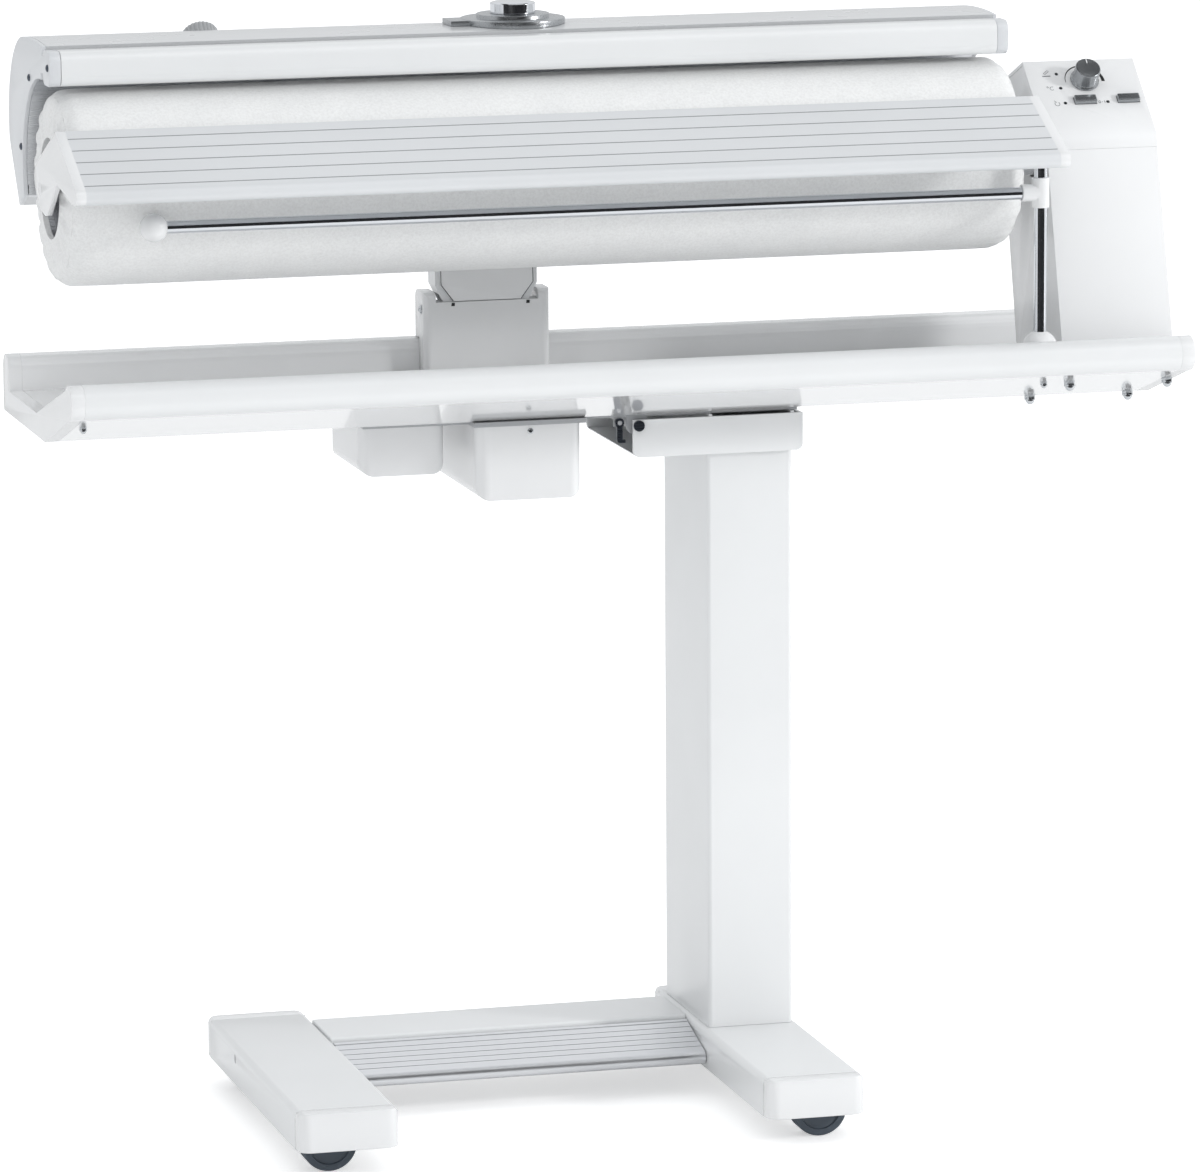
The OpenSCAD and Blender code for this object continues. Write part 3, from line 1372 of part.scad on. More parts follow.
module control_housing() {
    color(white) difference() {
        along_x(housing_x, housing_w) polygon(housing_outline());
        along_x(housing_x + housing_wall, housing_w - 2 * housing_wall)
            polygon(housing_inside(housing_wall));
        rod_x(housing_x - over, housing_wall + 2 * over, roller_y, roller_z, stub_r + 3);
    }
}

// Places on the panel: x across, s up its slope from the front edge, h out of it
module on_panel(x, s, h) {
    translate([housing_x + housing_w / 2 + x, housing_top_y, housing_top_z]) rotate([panel_angle, 0, 0])
        translate([0, s, h]) children();
}

knob_s = panel_l * 0.72;
board_gap = 2;
board_drop = 6;
board_t = 1.6;
button_proud = 2.4;
button_s = panel_l * 0.455;
button_xs = [-5, 34.5];
light_places = [[-23.5, 0.82], [-23.5, 0.63], [-23.5, 0.43], [15.5, 0.43]];

module control_panel() {
    color(white) difference() {
        along_x(housing_x - touch_gap, housing_w + 2 * touch_gap) polygon(concat([[lip_low_y, lip_low_z],
            [housing_top_y, housing_top_z], [ridge_y, ridge_z], [shoulder_y, shoulder_z]],
            panel_under(panel_t)));
        on_panel(0, knob_s, -2 * panel_t) cylinder(h = 4 * panel_t, r = knob_r * 0.3 + arm_fit);
        for (x = button_xs)
            on_panel(x - button_w / 2 - touch_gap, button_s - button_d / 2 - touch_gap, -2 * panel_t)
                cube([button_w + 2 * touch_gap, button_d + 2 * touch_gap, 4 * panel_t]);
        for (p = light_places) on_panel(p[0], p[1] * panel_l, -2 * panel_t)
            cylinder(h = 4 * panel_t, r = light_r);
    }
}

module control_board() {
    color("seagreen")
        on_panel(-housing_w / 2 + housing_wall + board_gap, panel_l * 0.35, -panel_t - board_drop)
        cube([housing_w - 2 * (housing_wall + board_gap), panel_l * 0.49, board_t]);
}

module temperature_knob() {
    skirt_h = 4;
    shaft_h = panel_t + board_drop - 1.4 * board_t;
    color(metal) on_panel(0, knob_s, touch_gap) {
        rotate_extrude() polygon([[0, 0], [knob_skirt_r, 0], [knob_skirt_r, skirt_h * 0.4],
            [knob_r * 1.08, skirt_h], [knob_r, skirt_h * 1.3], [knob_r, knob_h - skirt_h * 0.25],
            [knob_r * 0.94, knob_h], [0, knob_h]]);
        translate([0, 0, -shaft_h]) cylinder(h = shaft_h + over, r = knob_r * 0.3);
    }
}

module button(x) {
    h = button_travel + button_proud;
    on_panel(x - button_w / 2, button_s - button_d / 2, -panel_t) cube([button_w, button_d, panel_t + h]);
}

module left_button() { color(pale) button(button_xs[0]); }

module right_button() { color(pale) button(button_xs[1]); }

module indicator_lights() {
    color("darkorange") for (p = light_places) on_panel(p[0], p[1] * panel_l, -panel_t)
        cylinder(h = panel_t + touch_gap, r = light_r);
}

left_foot();
right_foot();
foot_end_caps();
cross_beam();
column();
column_head();
fold_pin();
treadle_pin();
treadle();
treadle_spring();
castor_fork(left_foot_x, castor_ys[0], -1);  // castor_fork_front_left
castor_fork(right_foot_x, castor_ys[0], 1);  // castor_fork_front_right
castor_fork(left_foot_x, castor_ys[1], -1);  // castor_fork_rear_left
castor_fork(right_foot_x, castor_ys[1], 1);  // castor_fork_rear_right
castor_wheel(left_foot_x, castor_ys[0], -1);  // castor_wheel_front_left
castor_wheel(right_foot_x, castor_ys[0], 1);  // castor_wheel_front_right
castor_wheel(left_foot_x, castor_ys[1], -1);  // castor_wheel_rear_left
castor_wheel(right_foot_x, castor_ys[1], 1);  // castor_wheel_rear_right
chassis();
fold_latch();
tray();
front_rail();
tray_end_caps();
relay_casing();
drive_casing();
press_motor();
press_cam();
neck_casing();
shoe_arm();
shoe_hinge_pin();
shoe_plate();
heating_rods();
shoe_cover();
shoe_end_plates();
finger_guard();
top_flange();
filler_cap();
fluted_knob();
roller_bracket();
roller_axle();
roller_bearings();
roller_tube();
roller_cloth();
roller_gear();
drive_motor();
motor_pinion();
feed_board();
feed_brackets();
rail_post();
rail_foot();
rail_clip();
drying_rail();
rail_ball();
control_housing();
control_panel();
control_board();
temperature_knob();
left_button();
right_button();
indicator_lights();
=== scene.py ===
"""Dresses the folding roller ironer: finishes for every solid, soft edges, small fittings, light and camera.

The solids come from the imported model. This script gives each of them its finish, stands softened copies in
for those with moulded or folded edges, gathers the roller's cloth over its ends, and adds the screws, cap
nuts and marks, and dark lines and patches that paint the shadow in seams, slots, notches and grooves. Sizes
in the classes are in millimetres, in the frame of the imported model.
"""

import json
import logging
import math
import random
from dataclasses import dataclass, field
from enum import Enum

import bmesh
import bpy
from mathutils import Matrix, Vector

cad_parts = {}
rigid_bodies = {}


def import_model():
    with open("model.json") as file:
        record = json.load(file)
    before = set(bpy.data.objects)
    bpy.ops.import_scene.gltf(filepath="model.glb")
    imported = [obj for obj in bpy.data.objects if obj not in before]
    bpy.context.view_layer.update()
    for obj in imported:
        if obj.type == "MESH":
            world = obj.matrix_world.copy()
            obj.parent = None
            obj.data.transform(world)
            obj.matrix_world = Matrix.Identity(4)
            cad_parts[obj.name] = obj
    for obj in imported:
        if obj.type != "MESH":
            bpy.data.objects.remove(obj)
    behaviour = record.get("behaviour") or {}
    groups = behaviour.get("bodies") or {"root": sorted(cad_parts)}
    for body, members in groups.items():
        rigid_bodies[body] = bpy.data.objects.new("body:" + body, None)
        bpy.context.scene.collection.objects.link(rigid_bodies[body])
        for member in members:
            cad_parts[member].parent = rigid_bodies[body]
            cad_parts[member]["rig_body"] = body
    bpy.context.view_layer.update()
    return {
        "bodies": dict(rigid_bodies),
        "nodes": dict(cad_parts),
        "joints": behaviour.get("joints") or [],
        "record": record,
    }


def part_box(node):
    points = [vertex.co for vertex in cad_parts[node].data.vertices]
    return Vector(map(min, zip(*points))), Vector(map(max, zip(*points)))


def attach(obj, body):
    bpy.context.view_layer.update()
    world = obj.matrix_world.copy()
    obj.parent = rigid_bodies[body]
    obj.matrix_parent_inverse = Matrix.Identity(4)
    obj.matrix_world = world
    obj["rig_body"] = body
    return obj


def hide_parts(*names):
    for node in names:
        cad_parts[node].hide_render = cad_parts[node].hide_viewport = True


LOG = logging.getLogger("ironer")
MM = 0.001
MERGED = 1e-4  # Points nearer than this, in millimetres, are one.
FULL_TURN = 2.0 * math.pi
PURE_WHITE = (1.0, 1.0, 1.0, 1.0)

Colour = tuple[float, float, float]
Point = tuple[float, float, float]
Flat = tuple[float, float]
Link = tuple[bpy.types.Node, str | int, bpy.types.Node, str | int]
OUT_LEFT: Point = (-1.0, 0.0, 0.0)
OUT_FRONT: Point = (0.0, -1.0, 0.0)
TO_RIGHT: Point = (1.0, 0.0, 0.0)


class Kind(Enum):
    """The types of a node group's sockets."""

    NUMBER = "NodeSocketFloat"
    VECTOR = "NodeSocketVector"
    COLOUR = "NodeSocketColor"


class Place(Enum):
    """The four castor places, as the solids' names end."""

    FRONT_LEFT = "front_left"
    FRONT_RIGHT = "front_right"
    REAR_LEFT = "rear_left"
    REAR_RIGHT = "rear_right"


class Slot(Enum):
    """The record's material slots that the finishes of new pieces stand for."""

    PLASTIC = "white_plastic"
    GREY = "grey_plastic"
    BLACK = "black_plastic"
    ZINC = "zinc_steel"
    CLOTH = "roller_cloth"
    SILVER = "silver_button"
    LAMP = "lamp"


# Node groups


def fill(node: bpy.types.Node, **values: float | tuple[float, ...]) -> None:
    """Sets some of a node's inputs.

    Args:
        node: The node.
        values: The inputs' values, with _ for each space in an input's name.
    """
    for name, value in values.items():
        node.inputs[name.replace("_", " ")].default_value = value


def added(
    tree: bpy.types.NodeTree, kind: str, operation: str | None = None, **values: float | tuple[float, ...]
) -> bpy.types.Node:
    """Adds a shader node.

    Args:
        tree: The nodes that it joins.
        kind: Its type, without the word ShaderNode.
        operation: What it works out, for a Math node.
        values: Its inputs' values, as fill takes them.

    Returns:
        The node.
    """
    node = tree.nodes.new(f"ShaderNode{kind}")
    if operation is not None:
        node.operation = operation
    fill(node, **values)
    return node


def joined(tree: bpy.types.NodeTree, *links: Link) -> None:
    """Links nodes.

    Args:
        tree: The nodes.
        links: The giving node, its output, the taking node and its input, for each link.
    """
    for giver, output, taker, entry in links:
        tree.links.new(giver.outputs[output], taker.inputs[entry])


class Groups:
    """Shader node groups that several finishes share, each built once."""

    def __init__(self) -> None:
        """Builds the groups."""
        self.handled = self._handled()
        self.skin = self._skin()
        self.brushed = self._brushed()
        self.tone = self._tone()

    @staticmethod
    def _start(
        name: str, takes: dict[str, float | Kind], gives: str, kind: Kind = Kind.NUMBER
    ) -> tuple[bpy.types.NodeTree, bpy.types.Node, bpy.types.Node]:
        """Makes a group that has its sockets and nothing else.

        Args:
            name: The group's name.
            takes: Its inputs by name, each with its type or, for a plain number, its value.
            gives: Its output's name.
            kind: Its output's type.

        Returns:
            The group, its input node and its output node.
        """
        tree = bpy.data.node_groups.new(name, "ShaderNodeTree")
        for label, value in {"Vector": Kind.VECTOR, **takes}.items():
            sort = value if isinstance(value, Kind) else Kind.NUMBER
            socket = tree.interface.new_socket(name=label, in_out="INPUT", socket_type=sort.value)
            if not isinstance(value, Kind):
                socket.default_value = value
        tree.interface.new_socket(name=gives, in_out="OUTPUT", socket_type=kind.value)
        return tree, tree.nodes.new("NodeGroupInput"), tree.nodes.new("NodeGroupOutput")

    def _handled(self) -> bpy.types.NodeTree:
        """Builds the marks of hands and cloths: soft patches that change the gloss a little.

        Returns:
            The group, which puts out a roughness.
        """
        takes = {"Scale": 14.0, "Amount": 0.06, "Middle": 0.3}
        tree, source, sink = self._start("handled_patches", takes, "Roughness")
        noise = added(tree, "TexNoise", Detail=3.0)
        centred = added(tree, "Math", "SUBTRACT")
        centred.inputs[1].default_value = 0.5
        spread = added(tree, "Math", "MULTIPLY_ADD")
        joined(
            tree, (source, "Vector", noise, "Vector"), (source, "Scale", noise, "Scale"),
            (noise, "Fac", centred, 0), (centred, 0, spread, 0), (source, "Amount", spread, 1),
            (source, "Middle", spread, 2), (spread, 0, sink, "Roughness"),
        )
        return tree

    def _skin(self) -> bpy.types.NodeTree:
        """Builds a fine pebbled height, for powder coat and moulded plastic.

        Returns:
            The group, which puts out a height.
        """
        tree, source, sink = self._start("fine_skin", {"Scale": 900.0}, "Height")
        noise = added(tree, "TexNoise", Detail=2.0)
        joined(
            tree, (source, "Vector", noise, "Vector"), (source, "Scale", noise, "Scale"),
            (noise, "Fac", sink, "Height"),
        )
        return tree

    def _brushed(self) -> bpy.types.NodeTree:
        """Builds long fine streaks along one direction.

        Returns:
            The group, which puts out a streak value for roughness and height.
        """
        takes = {"Direction": Kind.VECTOR, "Scale": 1200.0}
        tree, source, sink = self._start("brushed_streaks", takes, "Streak")
        stretch = added(tree, "VectorMath", "MULTIPLY")
        noise = added(tree, "TexNoise", Detail=4.0)
        joined(
            tree, (source, "Vector", stretch, 0), (source, "Direction", stretch, 1),
            (stretch, "Vector", noise, "Vector"), (source, "Scale", noise, "Scale"),
            (noise, "Fac", sink, "Streak"),
        )
        return tree

    def _tone(self) -> bpy.types.NodeTree:
        """Builds a colour that wanders softly between two, as aged coats and cloth do.

        Returns:
            The group, which puts out a colour.
        """
        takes = {"Scale": 5.0, "Light": Kind.COLOUR, "Dark": Kind.COLOUR}
        tree, source, sink = self._start("wandering_tone", takes, "Colour", Kind.COLOUR)
        noise = added(tree, "TexNoise", Detail=5.0)
        reach = added(tree, "MapRange", From_Min=0.3, From_Max=0.62)
        mix = added(tree, "MixRGB")
        joined(
            tree, (source, "Vector", noise, "Vector"), (source, "Scale", noise, "Scale"),
            (noise, "Fac", reach, "Value"), (reach, "Result", mix, "Fac"), (source, "Dark", mix, "Color1"),
            (source, "Light", mix, "Color2"), (mix, "Color", sink, "Colour"),
        )
        return tree


# Finishes


@dataclass(frozen=True)
class Surface:
    """The nodes of one material, for a finish to work on.

    Attributes:
        tree: The material's nodes.
        shader: The Principled shader.
        place: The node that gives Object coordinates.
        groups: The shared node groups.
    """

    tree: bpy.types.NodeTree
    shader: bpy.types.Node
    place: bpy.types.Node
    groups: Groups

    def use(self, group: bpy.types.NodeTree, **values: float | tuple[float, ...]) -> bpy.types.Node:
        """Places a shared group in the material.

        Args:
            group: The group.
            values: Its inputs' values, as fill takes them.

        Returns:
            The group's node.
        """
        node = added(self.tree, "Group")
        node.node_tree = group
        fill(node, **values)
        joined(self.tree, (self.place, "Object", node, "Vector"))
        return node

    def bump(self, giver: bpy.types.Node, output: str | int, depth: float, strength: float) -> None:
        """Turns a height into the shader's normal.

        Args:
            giver: The node that gives the height.
            output: Its output.
            depth: The height's range in metres.
            strength: How much of it shows.
        """
        node = added(self.tree, "Bump", Distance=depth, Strength=strength)
        joined(self.tree, (giver, output, node, "Height"), (node, "Normal", self.shader, "Normal"))


@dataclass(frozen=True)
class Finish:
    """A finish with a Principled shader, as a base for the others.

    Attributes:
        name: The material's name.
        colour: The base colour, linear.
        roughness: The middle roughness.
        metallic: 1 for bare metal.
    """

    name: str
    colour: Colour
    roughness: float = 0.3
    metallic: float = 0.0

    def material(self, groups: Groups) -> bpy.types.Material:
        """Gives the material, built on its first use.

        Args:
            groups: The shared node groups.

        Returns:
            The material.
        """
        found = bpy.data.materials.get(self.name)
        if found is not None:
            return found
        made = bpy.data.materials.new(self.name)
        made.use_nodes = True
        tree = made.node_tree
        shader = tree.nodes["Principled BSDF"]
        fill(shader, Base_Color=(*self.colour, 1.0), Roughness=self.roughness, Metallic=self.metallic)
        self.detail(Surface(tree, shader, added(tree, "TexCoord"), groups))
        return made

    def detail(self, surface: Surface) -> None:
        """Adds the surface detail of a finish that has its own.

        Args:
            surface: The material's nodes.
        """


@dataclass(frozen=True)
class Coated(Finish):
    """Powder coat, lacquer or moulded plastic: a fine skin, soft handling marks and a clear gloss.

    Attributes:
        grain: How many bumps there are to a metre.
        relief: The height of the skin in metres.
        gloss: The weight of the clear coat.
        gloss_roughness: How blurred the coat's mirror image is.
        marks: How far the roughness wanders.
        fade: How much darker the tone gets where it wanders.
        show: How much of the skin's height shows.
    """

    grain: float = 700.0
    relief: float = 0.00004
    gloss: float = 0.25
    gloss_roughness: float = 0.08
    marks: float = 0.08
    fade: float = 0.04
    show: float = 0.5

    def detail(self, surface: Surface) -> None:
        """Adds the skin, the tone and the handling marks.

        Args:
            surface: The material's nodes.
        """
        fill(surface.shader, Coat_Weight=self.gloss, Coat_Roughness=self.gloss_roughness)
        marks = surface.use(surface.groups.handled, Amount=self.marks, Middle=self.roughness)
        dark = tuple(part * (1.0 - self.fade) for part in self.colour)
        tone = surface.use(surface.groups.tone, Light=(*self.colour, 1.0), Dark=(*dark, 1.0))
        joined(
            surface.tree, (marks, "Roughness", surface.shader, "Roughness"),
            (tone, "Colour", surface.shader, "Base Color"),
        )
        skin = surface.use(surface.groups.skin, Scale=self.grain)
        surface.bump(skin, "Height", self.relief, self.show)


@dataclass(frozen=True)
class Brushed(Finish):
    """Bare metal with fine streaks along one direction.

    Attributes:
        squeeze: The pattern's scale along each axis, small where the streaks run.
        streaks: How far the roughness wanders with them.
        relief: The height of the streaks in metres.
        show: How much of this height shows.
        least: The least roughness.
    """

    metallic: float = 1.0
    squeeze: Point = (0.02, 1.0, 1.0)
    streaks: float = 0.18
    relief: float = 0.00002
    show: float = 0.6
    least: float = 0.02

    def detail(self, surface: Surface) -> None:
        """Adds the streaks to the roughness and the normal.

        Args:
            surface: The material's nodes.
        """
        worked = surface.use(surface.groups.brushed, Direction=self.squeeze)
        lowest = max(self.least, self.roughness - self.streaks)
        rough = added(surface.tree, "MapRange", To_Min=lowest, To_Max=self.roughness + self.streaks)
        joined(
            surface.tree, (worked, "Streak", rough, "Value"), (rough, "Result", surface.shader, "Roughness")
        )
        surface.bump(worked, "Streak", self.relief, self.show)


@dataclass(frozen=True)
class Felt(Finish):
    """The padded cotton cover of the roller: short fluff, matted tufts and a faint mottle.

    Attributes:
        tufts: Tufts to a metre.
        clump_share: The clumps to a metre as a share of these.
        shade: The colour between the tufts.
        relief: The height of the tufts in metres.
        show: How much of this height shows.
    """

    tufts: float = 420.0
    clump_share: float = 0.16
    shade: Colour = (0.78, 0.78, 0.775)
    relief: float = 0.0006
    show: float = 0.55

    def detail(self, surface: Surface) -> None:
        """Adds fluff, tufts and mottle.

        Args:
            surface: The material's nodes.
        """
        tree, place = surface.tree, surface.place
        fill(surface.shader, Sheen_Weight=0.3, Sheen_Roughness=0.6, Specular_IOR_Level=0.15)
        matted = added(tree, "TexNoise", Scale=self.tufts, Detail=6.0, Roughness=0.7)
        clumps = added(tree, "TexNoise", Scale=self.tufts * self.clump_share, Detail=3.0)
        reach = added(tree, "MapRange", From_Min=0.32, From_Max=0.6)
        fluff = added(tree, "MixRGB", Color1=(*self.shade, 1.0), Color2=(*self.colour, 1.0))
        tone = surface.use(surface.groups.tone, Scale=26.0, Light=PURE_WHITE, Dark=(0.965, 0.967, 0.97, 1.0))
        mottle = added(tree, "MixRGB", Fac=1.0)
        mottle.blend_type = "MULTIPLY"
        heap = added(tree, "Math", "ADD")
        joined(
            tree, (place, "Object", matted, "Vector"), (place, "Object", clumps, "Vector"),
            (matted, "Fac", reach, "Value"), (reach, "Result", fluff, "Fac"),
            (fluff, "Color", mottle, "Color1"), (tone, "Colour", mottle, "Color2"),
            (mottle, "Color", surface.shader, "Base Color"), (matted, "Fac", heap, 0),
            (clumps, "Fac", heap, 1),
        )
        surface.bump(heap, 0, self.relief, self.show)


WHITE = (0.82, 0.83, 0.835)
WHITE_PAINT = Coated("white_powder_coat", WHITE, 0.30, gloss=0.35)
TRAY_PAINT = Coated(
    "tray_gloss_coat", (0.85, 0.855, 0.86), 0.16, gloss=1.0, gloss_roughness=0.02, marks=0.03, relief=0.0
)
WHITE_PLASTIC = Coated("white_moulding", (0.83, 0.835, 0.84), 0.24, grain=420.0, gloss=0.3)
GREY_PLASTIC = Coated("pale_grey_moulding", (0.70, 0.715, 0.735), 0.32, grain=520.0)
BOARD_COAT = Coated(
    "feed_board_coat", (0.71, 0.725, 0.74), 0.34, grain=900.0, gloss=0.2, gloss_roughness=0.15
)
# The shoe cover's coat is greyer than the white paint: this darker colour paints the shade that its upward
# faces take.
SHADED_COVER_COAT = Coated("cover_coat_painted_shade", (0.68, 0.69, 0.70), 0.28, grain=700.0, gloss=0.4)
FLANGE_METAL = Brushed("turned_flange", (0.46, 0.475, 0.49), 0.30)
BLACK_PLASTIC = Coated("black_nylon", (0.012, 0.012, 0.014), 0.45, grain=900.0, gloss=0.05)
DARK_LENS = Coated("dark_lens", (0.03, 0.032, 0.036), 0.2, grain=900.0)
MARKING = Coated("black_print", (0.02, 0.02, 0.022), 0.5, grain=900.0, gloss=0.0)
GREY_MARKING = Coated("grey_print", (0.16, 0.17, 0.18), 0.5, grain=900.0, gloss=0.0)
GROOVE = Coated("groove_shade", (0.26, 0.27, 0.285), 0.6, grain=900.0, gloss=0.0)
# Dark lines and patches that paint the shadow in seams and the shade in slots and notches.
SEAM_SHADE = Coated("seam_shadow", (0.07, 0.075, 0.08), 0.7, grain=900.0, gloss=0.0)
TYRE = Coated("grey_tread", (0.075, 0.095, 0.12), 0.55, grain=1200.0, gloss=0.0, fade=0.2)
ZINC = Brushed("zinc_plate", (0.62, 0.63, 0.65), 0.34)
PIN_STEEL = Brushed("blued_pin", (0.10, 0.115, 0.14), 0.3)
CHROME = Brushed("chrome_tube", (0.78, 0.80, 0.83), 0.09, streaks=0.04, relief=0.000002)
SCREW_STEEL = Brushed("bright_fastener", (0.62, 0.64, 0.66), 0.16, streaks=0.05, relief=0.000004)
TREADLE_METAL = Brushed("brushed_treadle", (0.80, 0.81, 0.83), 0.36, streaks=0.12)
BARE_METAL = Brushed("rolled_aluminium", (0.78, 0.79, 0.81), 0.3)
DARK_METAL = Brushed("motor_can", (0.16, 0.17, 0.19), 0.4)
CAST = Coated("coated_casting", (0.79, 0.80, 0.81), 0.33, grain=300.0)
HEATER = Brushed("heater_sheath", (0.14, 0.13, 0.12), 0.5)
PLATE_COAT = Coated("plate_coat", (0.40, 0.41, 0.425), 0.4, gloss=0.1)
KNOB_GREY = Coated("knob_grey", (0.42, 0.43, 0.44), 0.38, grain=520.0, gloss=0.2)
NYLON = Coated("gear_nylon", (0.72, 0.71, 0.66), 0.4, grain=600.0, gloss=0.0)
BOARD = Coated("board_lacquer", (0.01, 0.12, 0.05), 0.3, grain=300.0)
FELT = Felt("roller_felt", (0.87, 0.875, 0.87), 0.95)
SILVER = Coated("silver_lacquer", (0.36, 0.375, 0.39), 0.26, metallic=0.8, grain=900.0, gloss=0.2)

FINISHED_NODES: tuple[tuple[Finish, str], ...] = (
    (WHITE_PAINT, "left_foot right_foot cross_beam column column_head front_rail finger_guard"),
    (WHITE_PLASTIC, "foot_end_caps tray_end_caps relay_casing drive_casing neck_casing feed_brackets"),
    (WHITE_PLASTIC, "rail_foot rail_clip rail_ball control_housing control_panel"),
    (GREY_PLASTIC, "shoe_end_plates"),
    (TRAY_PAINT, "tray"),
    (SHADED_COVER_COAT, "shoe_cover"),
    (BOARD_COAT, "feed_board"),
    (PLATE_COAT, "chassis"),
    (CAST, "shoe_arm"),
    (FELT, "roller_cloth"),
    (KNOB_GREY, "fluted_knob"),
    (SILVER, "temperature_knob left_button right_button"),
    (CHROME, "filler_cap rail_post drying_rail"),
    (FLANGE_METAL, "top_flange"),
    (TREADLE_METAL, "treadle"),
    (BARE_METAL, "shoe_plate roller_tube"),
    (DARK_METAL, "press_motor drive_motor"),
    (PIN_STEEL, "fold_pin fold_latch"),
    (ZINC, "treadle_pin treadle_spring shoe_hinge_pin roller_bracket roller_axle roller_bearings"),
    (ZINC, "motor_pinion"),
    (NYLON, "press_cam roller_gear"),
    (HEATER, "heating_rods"),
    (BOARD, "control_board"),
    (DARK_LENS, "indicator_lights"),
    (BLACK_PLASTIC, " ".join(f"castor_fork_{place.value}" for place in Place)),
    (TYRE, " ".join(f"castor_wheel_{place.value}" for place in Place)),
)
NODE_FINISHES = {node: finish for finish, nodes in FINISHED_NODES for node in nodes.split()}


# Shapes


def turned(profile: list[Flat], steps: int = 32) -> bmesh.types.BMesh:
    """Spins a profile about Z.

    Args:
        profile: Points of radius and height, from one end of the turned part to the other.
        steps: The steps of a full turn.

    Returns:
        The closed shape.
    """
    shape = bmesh.new()
    line = [shape.verts.new((radius, 0.0, height)) for radius, height in profile]
    edges = [shape.edges.new(pair) for pair in zip(line, line[1:])]
    bmesh.ops.spin(
        shape, geom=line + edges, cent=(0, 0, 0), axis=(0, 0, 1), angle=FULL_TURN, steps=steps, use_merge=True
    )
    return shape


def drawn(outline: list[Flat], depth: float) -> bmesh.types.BMesh:
    """Draws a flat outline out along Z.

    Args:
        outline: The corners in order.
        depth: How far it is drawn.

    Returns:
        The closed shape.
    """
    shape = bmesh.new()
    face = shape.faces.new([shape.verts.new((x, y, 0.0)) for x, y in outline])
    out = bmesh.ops.extrude_face_region(shape, geom=[face])
    moved = [part for part in out["geom"] if isinstance(part, bmesh.types.BMVert)]
    bmesh.ops.translate(shape, verts=moved, vec=(0, 0, depth))
    return shape


def ribbon(points: list[Flat], width: float | list[float], depth: float) -> bmesh.types.BMesh:
    """Makes a thin strip along a path, for a seam or a printed line.

    Args:
        points: The path's points.
        width: The strip's width, or its width at each point.
        depth: How thick it is.

    Returns:
        The closed shape.
    """
    widths = width if isinstance(width, list) else [width] * len(points)
    left, right = [], []
    for index, here in enumerate(points):
        before = Vector(points[max(index - 1, 0)])
        after = Vector(points[min(index + 1, len(points) - 1)])
        way = (after - before).normalized()
        side = Vector((-way.y, way.x)) * widths[index] / 2.0
        left.append(tuple(Vector(here) + side))
        right.append(tuple(Vector(here) - side))
    return drawn(left + right[::-1], depth)


def facing(place: Point, outward: Point, upward: Point = (0.0, 0.0, 1.0)) -> Matrix:
    """Gives the turn and move that set a shape, drawn on XY, on a face.

    Args:
        place: The point of the face that takes the shape's origin.
        outward: The face's normal, which takes the shape's Z.
        upward: The direction that takes the shape's Y, as nearly as the normal lets it.

    Returns:
        The matrix.
    """
    out = Vector(outward).normalized()
    across = Vector(upward).cross(out).normalized()
    up = out.cross(across)
    return Matrix.Translation(Vector(place)) @ Matrix((across, up, out)).transposed().to_4x4()


def ring_points(radius: float, first: float, last: float, count: int) -> list[Flat]:
    """Gives points along an arc about the origin.

    Args:
        radius: The arc's radius.
        first: Its first angle in degrees.
        last: Its last angle in degrees.
        count: The number of points.

    Returns:
        The points.
    """
    turn = [math.radians(first + (last - first) * step / (count - 1)) for step in range(count)]
    return [(radius * math.cos(angle), radius * math.sin(angle)) for angle in turn]


class Bench:
    """Turns shapes into finished pieces that ride on the solids' bodies."""

    def __init__(self, frame: dict) -> None:
        """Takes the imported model.
        """
        self.nodes: dict[str, bpy.types.Object] = frame["nodes"]
        rows = frame["record"]["subparts"]
        self.slots: dict[str, str] = {row["node"]: row["material_slot"] for row in rows}
        self.groups = Groups()

    def piece(
        self, name: str, shape: bmesh.types.BMesh, finish: Finish, body: str, slot: Slot,
        place: Matrix | None = None, crease: float = 32.0,
    ) -> bpy.types.Object:
        """Finishes a shape drawn in millimetres as a piece of the machine.

        Args:
            name: The piece's name.
            shape: The shape, which is used up.
            finish: Its finish.
            body: The body that it rides on.
            slot: The record's slot that its finish stands for.
            place: Where it goes, in millimetres.
            crease: The angle in degrees above which an edge stays crisp.

        Returns:
            The piece.
        """
        if place is not None:
            bmesh.ops.transform(shape, matrix=place, verts=shape.verts)
        bmesh.ops.remove_doubles(shape, verts=shape.verts, dist=MERGED)
        bmesh.ops.recalc_face_normals(shape, faces=shape.faces)
        bmesh.ops.scale(shape, verts=shape.verts, vec=(MM, MM, MM))
        return self.finished(name, shape, finish, body, slot.value, crease)

    def finished(
        self, name: str, shape: bmesh.types.BMesh, finish: Finish, body: str, slot: str, crease: float
    ) -> bpy.types.Object:
        """Writes a shape in metres to an object.

        Args:
            name: The piece's name.
            shape: The shape, which is used up.
            finish: Its finish.
            body: The body that it rides on.
            slot: The record's slot; not used.
            crease: The angle in degrees above which an edge stays crisp.

        Returns:
            The piece.
        """
        mesh = bpy.data.meshes.new(name)
        shape.to_mesh(mesh)
        shape.free()
        mesh.shade_smooth()
        mesh.set_sharp_from_angle(angle=math.radians(crease))
        mesh.materials.append(finish.material(self.groups))
        made = bpy.data.objects.new(name, mesh)
        bpy.context.scene.collection.objects.link(made)
        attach(made, body)
        LOG.info("made %s on %s", name, body)
        return made


# Sub-assemblies


@dataclass
class Assembly:
    """One sub-assembly, as a base for the others.

    Attributes:
        bench: Where its pieces are finished.
    """

    bench: Bench

    def build(self) -> None:
        """Makes the pieces."""


